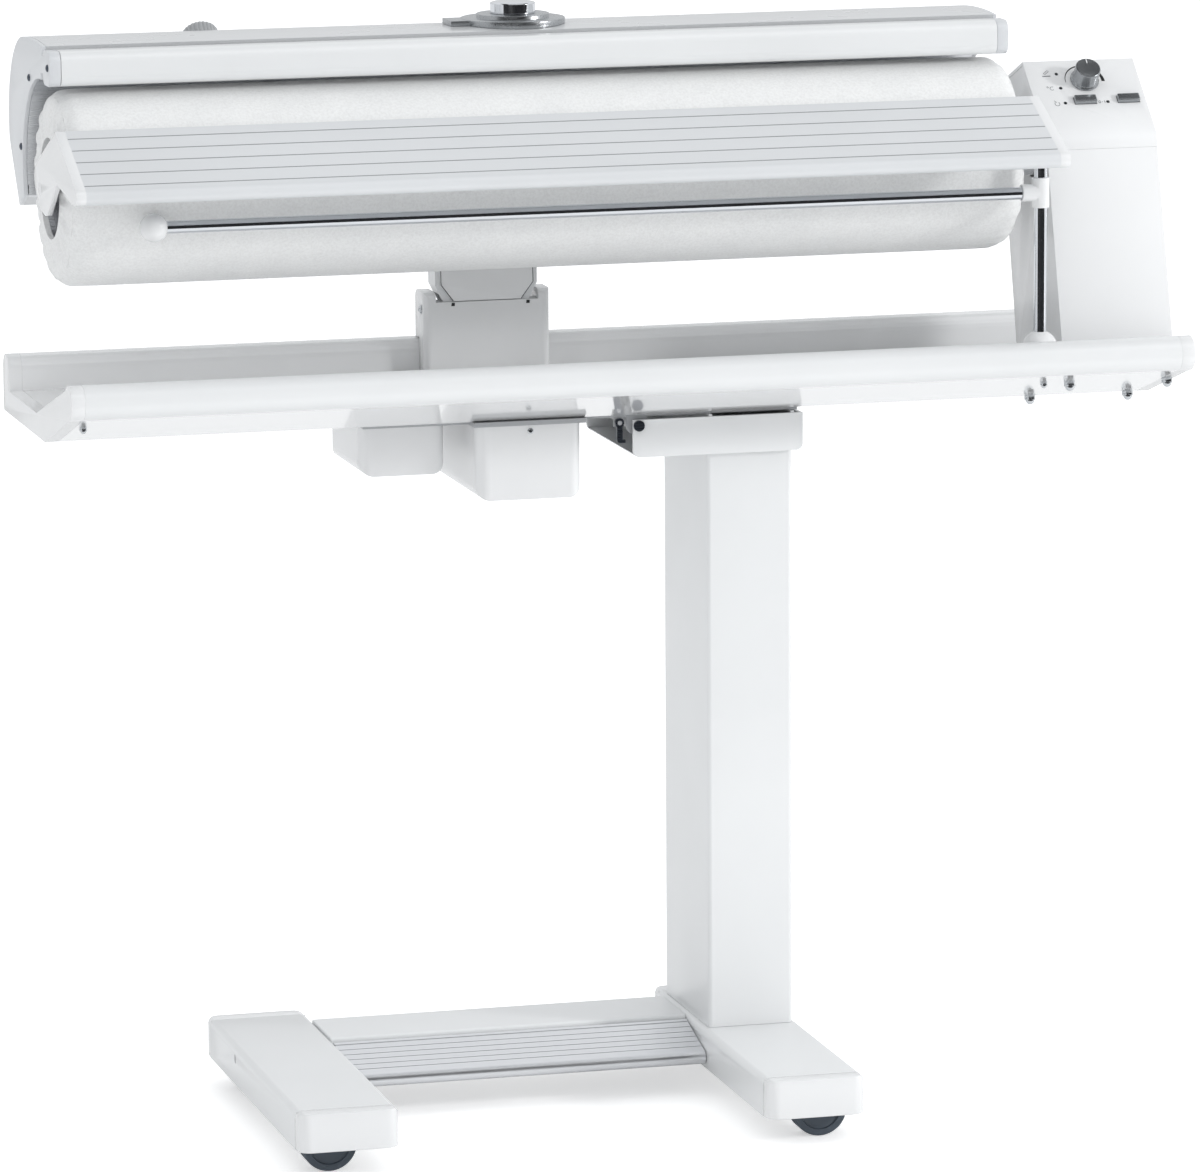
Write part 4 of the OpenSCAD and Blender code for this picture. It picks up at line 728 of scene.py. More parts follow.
@dataclass
class Softening(Assembly):
    """Which solids have moulded or folded edges, and how round these are.

    Attributes:
        edges: The rounding in millimetres for each solid.
        steps: The steps of a rounding.
        corner: The angle in degrees above which an edge is rounded.
        level: The angle in degrees up to which neighbouring faces count as one.
        crease: The angle in degrees above which an edge stays crisp.
        merged: The distance in metres within which a solid's points are one.
    """

    edges: dict[str, float] = field(default_factory=lambda: {
        "control_panel": 2.6, "control_housing": 1.2, "column": 1.0, "column_head": 1.2,
        "foot_end_caps": 2.2, "left_foot": 0.8, "right_foot": 0.8, "cross_beam": 1.0, "tray_end_caps": 2.4,
        "shoe_end_plates": 0.9, "top_flange": 1.4, "left_button": 1.1, "right_button": 1.1,
        "feed_brackets": 1.1, "neck_casing": 1.0, "rail_clip": 0.8,
    })
    steps: int = 3
    corner: float = 40.0
    level: float = 0.5
    crease: float = 30.0
    merged: float = 1e-6

    def build(self) -> None:
        """Makes the softened copies."""
        for node, edge in self.edges.items():
            self.soften(node, edge)

    def soften(self, node: str, edge: float) -> None:
        """Stands a copy with rounded edges in for a solid.

        Args:
            node: The solid.
            edge: The rounding in millimetres.
        """
        solid = self.bench.nodes[node]
        shape = bmesh.new()
        shape.from_mesh(solid.data)
        bmesh.ops.remove_doubles(shape, verts=shape.verts, dist=self.merged)
        bmesh.ops.dissolve_limit(
            shape, angle_limit=math.radians(self.level), verts=shape.verts, edges=shape.edges, delimit=set()
        )
        corner = math.radians(self.corner)
        sharp = [line for line in shape.edges if line.is_manifold and line.calc_face_angle(0.0) > corner]
        bmesh.ops.bevel(
            shape, geom=sharp, offset=edge * MM, offset_type="OFFSET", segments=self.steps, profile=0.5,
            affect="EDGES", clamp_overlap=True, material=-1,
        )
        made = self.bench.finished(
            f"soft_{node}", shape, NODE_FINISHES[node], solid["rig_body"], self.bench.slots[node], self.crease
        )
        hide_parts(node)


@dataclass
class Fasteners:
    """The small screws and nuts, all of a few sizes.

    Attributes:
        head_radius: The radius of a screw's head.
        head_height: Its height.
        nut_radius: The radius of a cap nut over its corners.
        nut_height: The height of its hexagon.
        dome_radius: The radius of its dome.
        sunk: How far a nut's washer face reaches into what it sits on.
        washer: How far this face stands off it.
        worn: The rounding of the hexagon's edges.
        steps: The steps of a full turn.
    """

    head_radius: float = 3.0
    head_height: float = 1.5
    nut_radius: float = 5.4
    nut_height: float = 4.2
    dome_radius: float = 4.2
    sunk: float = 0.5
    washer: float = 0.6
    worn: float = 0.35
    steps: int = 24

    def screw(self, scale: float = 1.0) -> bmesh.types.BMesh:
        """Makes a domed head with a socket.

        Args:
            scale: Its size against the usual head.

        Returns:
            The shape, which stands on XY.
        """
        rim, tall = self.head_radius * scale, self.head_height * scale
        socket = rim * 0.45
        profile = [(0.0, -0.4), (rim * 0.9, -0.4), (rim, 0.1), (rim, tall * 0.35), (rim * 0.86, tall * 0.75)]
        profile += [(rim * 0.6, tall), (socket, tall), (socket * 0.9, tall * 0.4), (0.0, tall * 0.35)]
        return turned(profile, self.steps)

    def cap_nut(self, scale: float = 1.0) -> bmesh.types.BMesh:
        """Makes a hexagon nut with a dome and a washer face.

        Args:
            scale: Its size against the usual nut.

        Returns:
            The shape, which stands on XY.
        """
        tall, dome = self.nut_height * scale, self.dome_radius * scale
        foot, corner = self.washer, self.nut_radius * scale
        shape = turned(
            [(0.0, -self.sunk), (dome * 1.1, -self.sunk), (dome * 1.15, foot), (0.0, foot)], self.steps
        )
        side = bmesh.ops.create_cone(
            shape, cap_ends=True, segments=6, radius1=corner, radius2=corner, depth=tall,
            matrix=Matrix.Translation((0.0, 0.0, foot + tall / 2.0)),
        )
        rims = dict.fromkeys(line for point in side["verts"] for line in point.link_edges)
        bmesh.ops.bevel(
            shape, geom=list(rims), offset=self.worn * scale, segments=2, profile=0.5, affect="EDGES",
            material=-1,
        )
        arc = [(radius, height + foot + tall) for radius, height in ring_points(dome, 0.0, 90.0, 8)]
        crown = turned([(dome, tall + foot / 2.0), *arc], self.steps)
        spare = bpy.data.meshes.new("spare_crown")
        crown.to_mesh(spare)
        crown.free()
        shape.from_mesh(spare)
        bpy.data.meshes.remove(spare)
        return shape


@dataclass
class RollerCloth(Assembly):
    """The felt cover of the roller, gathered over both ends round an open mouth.

    Attributes:
        axis_y: Where the roller's axis lies along Y.
        axis_z: Where it lies along Z.
        left: Where the tube ends on the left.
        right: Where the tube ends on the right.
        radius: The cover's radius.
        tube: The radius of the tube inside it.
        mouth: The radius of the opening.
        lap: How far the gathered cloth stands out of the tube's end.
        corner: The radius of its shoulders.
        folds: The number of gathers.
        pull: How deep the gathers are on the shoulders.
        reach: How far along the roller they go, as a share of a shoulder.
        fall: How far the end's face sinks in.
        fall_wave: How much more it does in a gather.
        fall_slow: How far this wanders round the roller.
        rim_fade: How wide a rim stays out of this.
        mouth_fade: How wide an edge round the mouth does.
        steps: The steps round the roller.
        along: The steps along it.
        face_steps: The steps across each end.
        seed: What the folds are drawn from.
        crease: The angle in degrees above which an edge stays crisp.
    """

    axis_y: float = 13.0
    axis_z: float = 824.5
    left: float = -478.0
    right: float = 355.0
    radius: float = 83.4
    tube: float = 77.6
    mouth: float = 43.0
    lap: float = 4.6
    corner: float = 17.0
    folds: int = 17
    pull: float = 1.3
    reach: float = 1.6
    fall: float = 1.4
    fall_wave: float = 1.15
    fall_slow: float = 0.6
    rim_fade: float = 14.0
    mouth_fade: float = 10.0
    steps: int = 360
    along: int = 40
    face_steps: int = 9
    seed: int = 11
    crease: float = 80.0

    def profile(self) -> list[Flat]:
        """Gives radius and place along X of the cover's closed section, from the left mouth round to it.

        Returns:
            The points.
        """
        rise = [
            (self.radius - self.corner * (1.0 - math.sin(turn)), self.corner * (1.0 - math.cos(turn)))
            for turn in (math.radians(10.0 * step) for step in range(10))
        ]
        wide, count = rise[0][0] - self.mouth, self.face_steps
        face = [(self.mouth + wide * step / count, 0.0) for step in range(count)]
        edge = face + rise
        first, last = self.left - self.lap + self.corner, self.right + self.lap - self.corner
        span = [(self.radius, first + (last - first) * step / self.along) for step in range(1, self.along)]
        left = [(radius, self.left - self.lap + inset) for radius, inset in edge]
        right = [(radius, self.right + self.lap - inset) for radius, inset in reversed(edge)]
        inner = [
            (self.mouth, self.right), (self.tube, self.right), (self.tube, self.left), (self.mouth, self.left)
        ]
        return left + span + right + inner

    def gather(self, shape: bmesh.types.BMesh) -> None:
        """Pulls the ends into soft folds that deepen towards the mouth.

        Args:
            shape: The spun cover about Z, with Z along the roller.
        """
        draw = random.Random(self.seed)
        phases = [draw.uniform(0.0, FULL_TURN) for _ in range(6)]
        mean = (self.left + self.right) / 2.0
        drawn_in = self.corner * self.reach
        for point in shape.verts:
            reach = math.hypot(point.co.x, point.co.y)
            turn = math.atan2(point.co.y, point.co.x)
            end = abs(point.co.z - mean) - (self.right - self.left) / 2.0
            side = 1.0 if point.co.z > mean else -1.0
            wave = math.sin(self.folds * turn + phases[0] + 1.6 * math.sin(3.0 * turn + phases[1]))
            wave += 0.55 * math.sin((2 * self.folds + 3) * turn + phases[2] + 0.05 * reach)
            slow = math.sin(5.0 * turn + phases[3]) + 0.6 * math.sin(9.0 * turn + phases[4])
            if end > -drawn_in and reach > self.tube + 1.0:
                fade = min(1.0, (end + drawn_in) / drawn_in)
                inward = fade * (0.55 + 0.45 * wave) * self.pull + fade * fade * (0.5 + 0.3 * slow)
                point.co.x *= (reach - inward) / reach
                point.co.y *= (reach - inward) / reach
            if end > 0.3 and reach < self.radius:
                rim, edge = (self.radius - reach) / self.rim_fade, (reach - self.mouth) / self.mouth_fade
                depth = max(0.0, min(1.0, rim, edge))
                fall = self.fall + self.fall_wave * wave + self.fall_slow * slow
                point.co.z -= side * min(depth * max(fall, 0.0), self.lap - 0.5)

    def build(self) -> None:
        """Makes the cover."""
        shape = bmesh.new()
        line = [shape.verts.new((radius, 0.0, place)) for radius, place in self.profile()]
        edges = [shape.edges.new((line[step], line[(step + 1) % len(line)])) for step in range(len(line))]
        bmesh.ops.spin(
            shape, geom=line + edges, cent=(0, 0, 0), axis=(0, 0, 1), angle=FULL_TURN, steps=self.steps,
            use_merge=True,
        )
        bmesh.ops.remove_doubles(shape, verts=shape.verts, dist=MERGED)
        self.gather(shape)
        place = Matrix(((0, 0, 1, 0), (1, 0, 0, self.axis_y), (0, 1, 0, self.axis_z), (0, 0, 0, 1)))
        made = self.bench.piece("gathered_cloth", shape, FELT, "roller", Slot.CLOTH, place, self.crease)
        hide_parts("roller_cloth")


@dataclass
class Shoe(Assembly):
    """The fittings of the shoe cover and its end plates, with a dark patch that paints the shade in each end
    plate's slot.

    Attributes:
        left_face: The outer face of the left end plate.
        right_face: The outer face of the right end plate.
        screws: The places of the end plates' screws, as Y and Z.
        guard_screw: The place of the screw in each of the guard's caps.
        notch: The place of the slot in the end plate's tail.
        slot_radius: Half the width of this slot.
        slot_length: The length between the middles of its round ends.
        slot_depth: The thickness of the dark patch that paints the shade in it.
        screw_scale: The size of the screws against the usual head.
    """

    left_face: float = -488.0
    right_face: float = 354.0
    screws: tuple[Flat, ...] = ((66.5, 912.9), (108.6, 849.4))
    guard_screw: Flat = (-17.5, 929.6)
    notch: Flat = (79.3, 818.5)
    slot_radius: float = 1.6
    slot_length: float = 5.0
    slot_depth: float = 0.3
    screw_scale: float = 1.05

    def build(self) -> None:
        """Makes the pieces."""
        top = ring_points(self.slot_radius, 0.0, 180.0, 9)
        bottom = [(x, y - self.slot_length) for x, y in ring_points(self.slot_radius, 180.0, 360.0, 9)]
        for side, face, out in (("left", self.left_face, OUT_LEFT), ("right", self.right_face, TO_RIGHT)):
            for number, spot in enumerate((*self.screws, self.guard_screw)):
                self.bench.piece(
                    f"shoe_screw_{side}_{number}", Fasteners().screw(self.screw_scale), PIN_STEEL, "shoe",
                    Slot.ZINC, facing((face, *spot), out),
                )
            # A dark patch on each end plate's face paints the shade inside its slot.
            self.bench.piece(
                f"plate_slot_shade_{side}", drawn(top + bottom, self.slot_depth), SEAM_SHADE, "shoe", Slot.BLACK,
                facing((face, *self.notch), out),
            )


@dataclass
class FlutedKnob(Assembly):
    """The tall fluted knob on the rear slope of the shoe cover, whose rim shows over the crest.

    Attributes:
        seat: The middle of its seat.
        lean: How far its axis leans to the rear, in degrees.
        radius: Its radius over the flutes.
        tall: Its height.
        lift: The gap under it.
        rim: The rounding of its rim as a share of the radius.
        flutes: The number of flutes.
        flute_depth: Their depth as a share of the radius.
        flute_steps: The steps round each of them.
        flat: The share of the radius that they leave plain.
        crease: The angle in degrees above which an edge stays crisp.
    """

    seat: Point = (-319.0, 148.6, 918.2)
    lean: float = 50.0
    radius: float = 16.5
    tall: float = 26.0
    lift: float = 1.3
    rim: float = 0.3
    flutes: int = 28
    flute_depth: float = 0.045
    flute_steps: int = 6
    flat: float = 0.8
    crease: float = 25.0

    def build(self) -> None:
        """Makes the knob."""
        crown = self.radius * self.rim
        inner, upper = self.radius - crown, self.tall - crown
        profile = [(0.0, 0.0), (self.radius, 0.0), (self.radius, self.tall * 0.4), (self.radius, upper)]
        profile += [(inner + x, upper + y) for x, y in ring_points(crown, 15.0, 90.0, 6)]
        profile.append((0.0, self.tall))
        shape = turned(profile, self.flute_steps * self.flutes)
        for point in shape.verts:
            reach = math.hypot(point.co.x, point.co.y)
            if reach > self.radius * self.flat:
                turn = math.atan2(point.co.y, point.co.x)
                inward = self.flute_depth * max(0.0, math.cos(self.flutes * turn))
                point.co.x *= 1.0 - inward
                point.co.y *= 1.0 - inward
        lean = math.radians(self.lean)
        out = (0.0, math.sin(lean), math.cos(lean))
        place = facing(self.seat, out, TO_RIGHT) @ Matrix.Translation((0.0, 0.0, self.lift))
        made = self.bench.piece(
            "tall_fluted_knob", shape, KNOB_GREY, "small_knob", Slot.GREY, place, self.crease
        )
        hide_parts("fluted_knob")


@dataclass
class Tray(Assembly):
    """The cap nuts and screws that show under the tray.

    Attributes:
        slope: The outward normal of the tray's sloping under side.
        nuts: The places of the nuts on it, each with its size against the usual nut.
        rail_nut: The same for the nut on the rail's bolt.
        casing_screw: The place of the screw on the edge of the drive casing.
        screw_scale: Its size against the usual head.
        crease: The angle in degrees above which a nut's edge stays crisp.
    """

    slope: Point = (0.0, -0.297, -0.955)
    nuts: tuple[tuple[Point, float], ...] = (
        ((-474.2, -73.0, 633.3), 0.62), ((394.8, -72.4, 633.1), 0.95), ((485.0, -68.9, 632.1), 0.95),
        ((381.2, -4.0, 611.9), 0.95), ((471.4, -3.4, 611.7), 0.95),
    )
    rail_nut: tuple[Point, float] = ((370.2, -75.9, 634.2), 0.6)
    casing_screw: Point = (-69.3, -2.0, 600.5)
    screw_scale: float = 0.9
    crease: float = 25.0

    def build(self) -> None:
        """Makes the pieces."""
        kit = Fasteners()
        for ending, (spot, scale) in (*enumerate(self.nuts), ("rail", self.rail_nut)):
            self.bench.piece(
                f"cap_nut_{ending}", kit.cap_nut(scale), SCREW_STEEL, "machine", Slot.ZINC,
                facing(spot, self.slope, TO_RIGHT), self.crease,
            )
        self.bench.piece(
            "casing_screw", kit.screw(self.screw_scale), SCREW_STEEL, "machine", Slot.ZINC,
            facing(self.casing_screw, OUT_FRONT),
        )


@dataclass
class Neck(Assembly):
    """The arm's front skin above the neck casing, dark lines that paint the shadow along its seams, dark
    patches that paint the shade in the casing's notches, and the end of the hinge pin.

    Attributes:
        front: The casing's front face.
        arm_front: The casting's front face behind the skin.
        middle: The middle of the arm along X.
        skin_depth: How far the skin stands in front of the casting.
        skin_low: The lower edge of the skin.
        skin_high: Its upper edge.
        half_low: Half its width at the lower edge.
        half_high: Half its width at the upper edge.
        bend_height: Where its sides turn upright.
        skin_lean: How far the skin's upper edge lies behind its lower edge.
        seam_width: The width of the dark line along the skin's sides that paints the seam's shadow.
        seam_depth: This line's thickness.
        seam_out: How far the line stands in front of the casting.
        notches: Where the dark patches that paint the shade of the notches in the casing's upper edge lie,
            across from the middle.
        notch_drop: How far below the skin they are.
        cheek: The casing's left face.
        pin: The place of the hinge pin's head on it, as Y and Z.
        pin_scale: The head's size against the usual screw.
    """

    front: float = 144.0
    arm_front: float = 148.0
    middle: float = -70.0
    skin_depth: float = 3.85
    skin_low: float = 694.95
    skin_high: float = 744.0
    half_low: float = 30.6
    half_high: float = 41.5
    bend_height: float = 709.5
    skin_lean: float = 3.0
    seam_width: float = 0.7
    seam_depth: float = 0.25
    seam_out: float = 3.6
    notches: tuple[float, ...] = (-31.0, 36.6)
    notch_drop: float = 3.0
    cheek: float = -127.0
    pin: Flat = (156.0, 687.0)
    pin_scale: float = 1.25

    def upright(self, depth: float) -> Matrix:
        """Gives the matrix that stands a shape drawn on XY upright before the arm.

        Args:
            depth: Its place along Y.

        Returns:
            The matrix.
        """
        return Matrix(((1, 0, 0, self.middle), (0, 0, -1, depth), (0, 1, 0, 0), (0, 0, 0, 1)))

    def build(self) -> None:
        """Makes the pieces."""
        low, high = (self.half_low, self.skin_low), (self.half_high, self.skin_high)
        right = [low, (self.half_high, self.bend_height), high]
        left = [(-across, height) for across, height in right[::-1]]
        skin = drawn([left[2], *right, left[0], left[1]], self.skin_depth)
        tops = [point for point in skin.verts if point.co.y > self.skin_high - 1.0 and point.co.z > 1.0]
        bmesh.ops.translate(skin, verts=tops, vec=(0.0, 0.0, -self.skin_lean))
        self.bench.piece("arm_skin", skin, WHITE_PLASTIC, "shoe", Slot.PLASTIC, self.upright(self.arm_front))
        upper = self.skin_high - self.bend_height
        on_skin = self.upright(self.arm_front - self.seam_out)
        # Each seam is a dark line along the skin's edge that paints the joint's shadow; each notch is a dark
        # patch that paints the shade inside it.
        for side, path, across in (("left", left, self.notches[0]), ("right", right[::-1], self.notches[1])):
            seam = ribbon(path, self.seam_width, self.seam_depth)
            for point in seam.verts:
                if point.co.y > self.bend_height + 1.0:
                    point.co.z -= self.skin_lean * (point.co.y - self.bend_height) / upper
            self.bench.piece(f"arm_seam_shadow_{side}", seam, SEAM_SHADE, "shoe", Slot.BLACK, on_skin)
            notch = drawn([(-1.6, -1.4), (1.6, -1.4), (1.6, 1.4), (-1.2, 1.4)], 0.3)
            spot = (self.middle + across, self.front - 0.05, self.skin_low - self.notch_drop)
            place = facing(spot, OUT_FRONT)
            self.bench.piece(f"neck_notch_shade_{side}", notch, MARKING, "machine", Slot.BLACK, place)
        self.bench.piece(
            "hinge_pin_head", Fasteners().screw(self.pin_scale), SCREW_STEEL, "machine", Slot.ZINC,
            facing((self.cheek, *self.pin), OUT_LEFT),
        )


@dataclass
class FeedBoard(Assembly):
    """The shaded bottoms of the feed board's grooves, and the cap over the stud in its left bracket.

    Attributes:
        rear_y: Where the board's rear edge lies along Y.
        rear_z: Where it lies along Z.
        slope: Its fall towards the front, in degrees.
        length: Its length down the slope.
        left: Its left end.
        right: Its right end.
        grooves: The number of grooves.
        groove_width: Their width.
        groove_shift: How far up from an even spread they lie, as a share of their spacing.
        shade_depth: The thickness of the shade in each.
        shade_sunk: How far it lies below the board's face.
        stud: The place of the stud, as Y and Z.
        stud_radius: The radius of its cap.
    """

    rear_y: float = -58.5
    rear_z: float = 881.0
    slope: float = 24.5
    length: float = 94.0
    left: float = -482.0
    right: float = 361.0
    grooves: int = 5
    groove_width: float = 0.9
    groove_shift: float = 0.3
    shade_depth: float = 0.12
    shade_sunk: float = 0.1
    stud: Flat = (13.0, 824.5)
    stud_radius: float = 5.4

    def build(self) -> None:
        """Makes the pieces."""
        turn = math.radians(self.slope)
        normal = (0.0, -math.sin(turn), math.cos(turn))
        half = (self.right - self.left) / 2.0
        for number in range(1, self.grooves + 1):
            down = self.length * (number - self.groove_shift) / self.grooves
            spot = (
                (self.left + self.right) / 2.0, self.rear_y - down * math.cos(turn),
                self.rear_z - down * math.sin(turn),
            )
            line = ribbon([(0.0, -half), (0.0, half)], self.groove_width, self.shade_depth)
            place = facing(spot, normal, TO_RIGHT) @ Matrix.Translation((0.0, 0.0, -self.shade_sunk))
            self.bench.piece(f"board_groove_{number}", line, GROOVE, "machine", Slot.GREY, place)
        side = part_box("feed_brackets")[0][0] / MM
        rim = self.stud_radius
        cap = turned([(0.0, 0.5), (rim - 0.8, 0.45), (rim, 0.0), (rim, -0.3), (0.0, -0.3)], 40)
        self.bench.piece(
            "stud_cap", cap, WHITE_PLASTIC, "machine", Slot.PLASTIC, facing((side, *self.stud), OUT_LEFT)
        )


@dataclass
class Controls(Assembly):
    """The knob and the marks on the control panel.

    Attributes:
        middle: The middle of the panel along X.
        edge_y: Where the panel's front edge lies along Y.
        edge_z: Where it lies along Z.
        slope: The panel's slope in degrees.
        knob_up: How far up the slope the knob stands.
        knob_tall: The knob's height.
        knob_radius: The radius of its grip.
        knob_skirt: The radius of its skirt.
        knob_steps: The steps of its full turn.
        dial: The radius of the printed dial.
        dial_ends: The angles in degrees at which its arc starts and ends.
        dial_thin: The arc's width at its start.
        dial_more: How much wider it is at its end.
        dial_steps: The points of the arc.
        print_depth: The thickness of a printed mark.
        print_lift: How far it stands off the panel.
        lights: The places of the lights, across and up the slope.
    """

    middle: float = 439.5
    edge_y: float = -23.0
    edge_z: float = 841.0
    slope: float = 41.3086
    knob_up: float = 63.26
    knob_tall: float = 17.0
    knob_radius: float = 11.2
    knob_skirt: float = 12.8
    knob_steps: int = 72
    dial: float = 17.2
    dial_ends: Flat = (184.0, -4.0)
    dial_thin: float = 0.5
    dial_more: float = 2.5
    dial_steps: int = 40
    print_depth: float = 0.12
    print_lift: float = 0.02
    lights: tuple[Flat, ...] = ((-23.5, 72.05), (-23.5, 55.35), (-23.5, 37.78), (15.5, 37.78))

    def place(self, across: float, up: float, out: float = 0.0) -> Matrix:
        """Gives the matrix of a spot on the panel.

        Args:
            across: How far right of the middle it is.
            up: How far up the slope it is.
            out: How far it stands off the panel.

        Returns:
            The matrix.
        """
        tilt = Matrix.Rotation(math.radians(self.slope), 4, "X")
        edge = Matrix.Translation((self.middle, self.edge_y, self.edge_z))
        return edge @ tilt @ Matrix.Translation((across, up, out))

    def mark(
        self, name: str, path: list[Flat], width: float | list[float], across: float, up: float,
        finish: Finish = MARKING,
    ) -> None:
        """Prints a line on the panel.

        Args:
            name: The piece's name.
            path: The line's points.
            width: Its width, or its width at each point.
            across: How far right of the middle it is.
            up: How far up the slope it is.
            finish: The colour of the print.
        """
        shape = ribbon(path, width, self.print_depth)
        place = self.place(across, up, self.print_lift)
        self.bench.piece(name, shape, finish, "machine", Slot.BLACK, place)

    def knob(self) -> None:
        """Makes the knob: a low skirt and a plain grip with a turned rim."""
        grip, skirt, tall = self.knob_radius, self.knob_skirt, self.knob_tall
        profile = [(0.0, 0.3), (skirt - 0.2, 0.3), (skirt, 0.8), (skirt, 1.9), (skirt - 0.5, 2.7)]
        profile += [(grip + 0.5, 3.3), (grip, 4.2), (grip, tall - 1.4)]
        profile += [(grip - 1.2 + x, tall - 1.2 + y) for x, y in ring_points(1.2, 15.0, 75.0, 5)]
        profile += [(grip - 1.6, tall), (grip - 2.2, tall - 0.25), (0.0, tall - 0.25)]
        made = self.bench.piece(
            "turned_knob", turned(profile, self.knob_steps), SILVER, "knob", Slot.SILVER,
            self.place(0.0, self.knob_up),
        )
        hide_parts("temperature_knob")

    def build(self) -> None:
        """Makes the knob and the marks."""
        self.knob()
        sweep = ring_points(self.dial, *self.dial_ends, self.dial_steps)
        shares = [step / (self.dial_steps - 1) for step in range(self.dial_steps)]
        widths = [self.dial_thin + self.dial_more * share ** 1.2 for share in shares]
        self.mark("dial_arc", sweep, widths, 0.0, self.knob_up)
        self.mark("dial_tick", [(0.0, self.dial - 0.5), (0.0, self.dial + 3.2)], 0.7, 0.0, self.knob_up)
        self.bench.piece(
            "knob_pointer", ribbon([(0.0, 5.0), (0.0, 9.6)], 0.9, 0.15), WHITE_PLASTIC, "knob", Slot.PLASTIC,
            self.place(0.0, self.knob_up, self.knob_tall + 0.25),
        )
        for number, (across, up) in enumerate(self.lights):
            lens = turned([(0.0, 0.7), (0.7, 0.6), (1.2, 0.3), (1.45, 0.0), (1.45, -0.2), (0.0, -0.2)], 20)
            self.bench.piece(
                f"light_lens_{number}", lens, DARK_LENS, "machine", Slot.LAMP, self.place(across, up)
            )
        self.signs()

    def signs(self) -> None:
        """Prints the plain signs beside the lights."""
        fine, bold = 0.45, 0.9
        nought = [(0.8 * x, 1.25 * y) for x, y in ring_points(1.1, 0.0, 350.0, 18)]
        slab = [(-2.6, -1.6), (1.4, 2.0), (2.7, 0.9), (-1.2, -2.4), (-2.5, -1.7)]
        signs = (
            ("off", nought, fine, 8.0, 37.8),
            ("on", [(0.0, -1.4), (0.0, 1.4)], fine, 12.6, 37.8),
            ("between", [(-0.35, 0.0), (0.35, 0.0)], 0.6, 10.4, 37.8),
            ("degree", ring_points(0.75, 0.0, 345.0, 14), 0.35, -35.2, 56.9),
            ("heat", ring_points(1.9, 50.0, 310.0, 16), fine, -31.4, 55.4),
            ("hand", ring_points(2.2, 130.0, 410.0, 20), fine, -31.0, 37.2),
            ("finger", [(-1.6, 3.4), (0.4, 1.2)], fine, -31.6, 37.6),
            ("roll", slab, fine, -32.6, 74.6),
            ("board", [(-4.0, -3.6), (3.4, -3.6)], bold, -32.8, 73.6),
        )
        for name, path, width, across, up in signs:
            self.mark(f"sign_{name}", path, width, across, up, GREY_MARKING)


@dataclass(frozen=True)
class Lamp:
    """One soft square lamp.

    Attributes:
        name: Its name.
        place: Where it hangs, in metres.
        aim: The point that it faces.
        size: The length of its side.
        power: Its power in watts.
    """

    name: str
    place: Point
    aim: Point
    size: float
    power: float

    def hang(self) -> None:
        """Hangs the lamp."""
        data = bpy.data.lights.new(self.name, "AREA")
        data.size = self.size
        data.energy = self.power
        made = bpy.data.objects.new(self.name, data)
        made.location = self.place
        made.rotation_euler = (Vector(self.aim) - Vector(self.place)).to_track_quat("-Z", "Y").to_euler()
        bpy.context.scene.collection.objects.link(made)


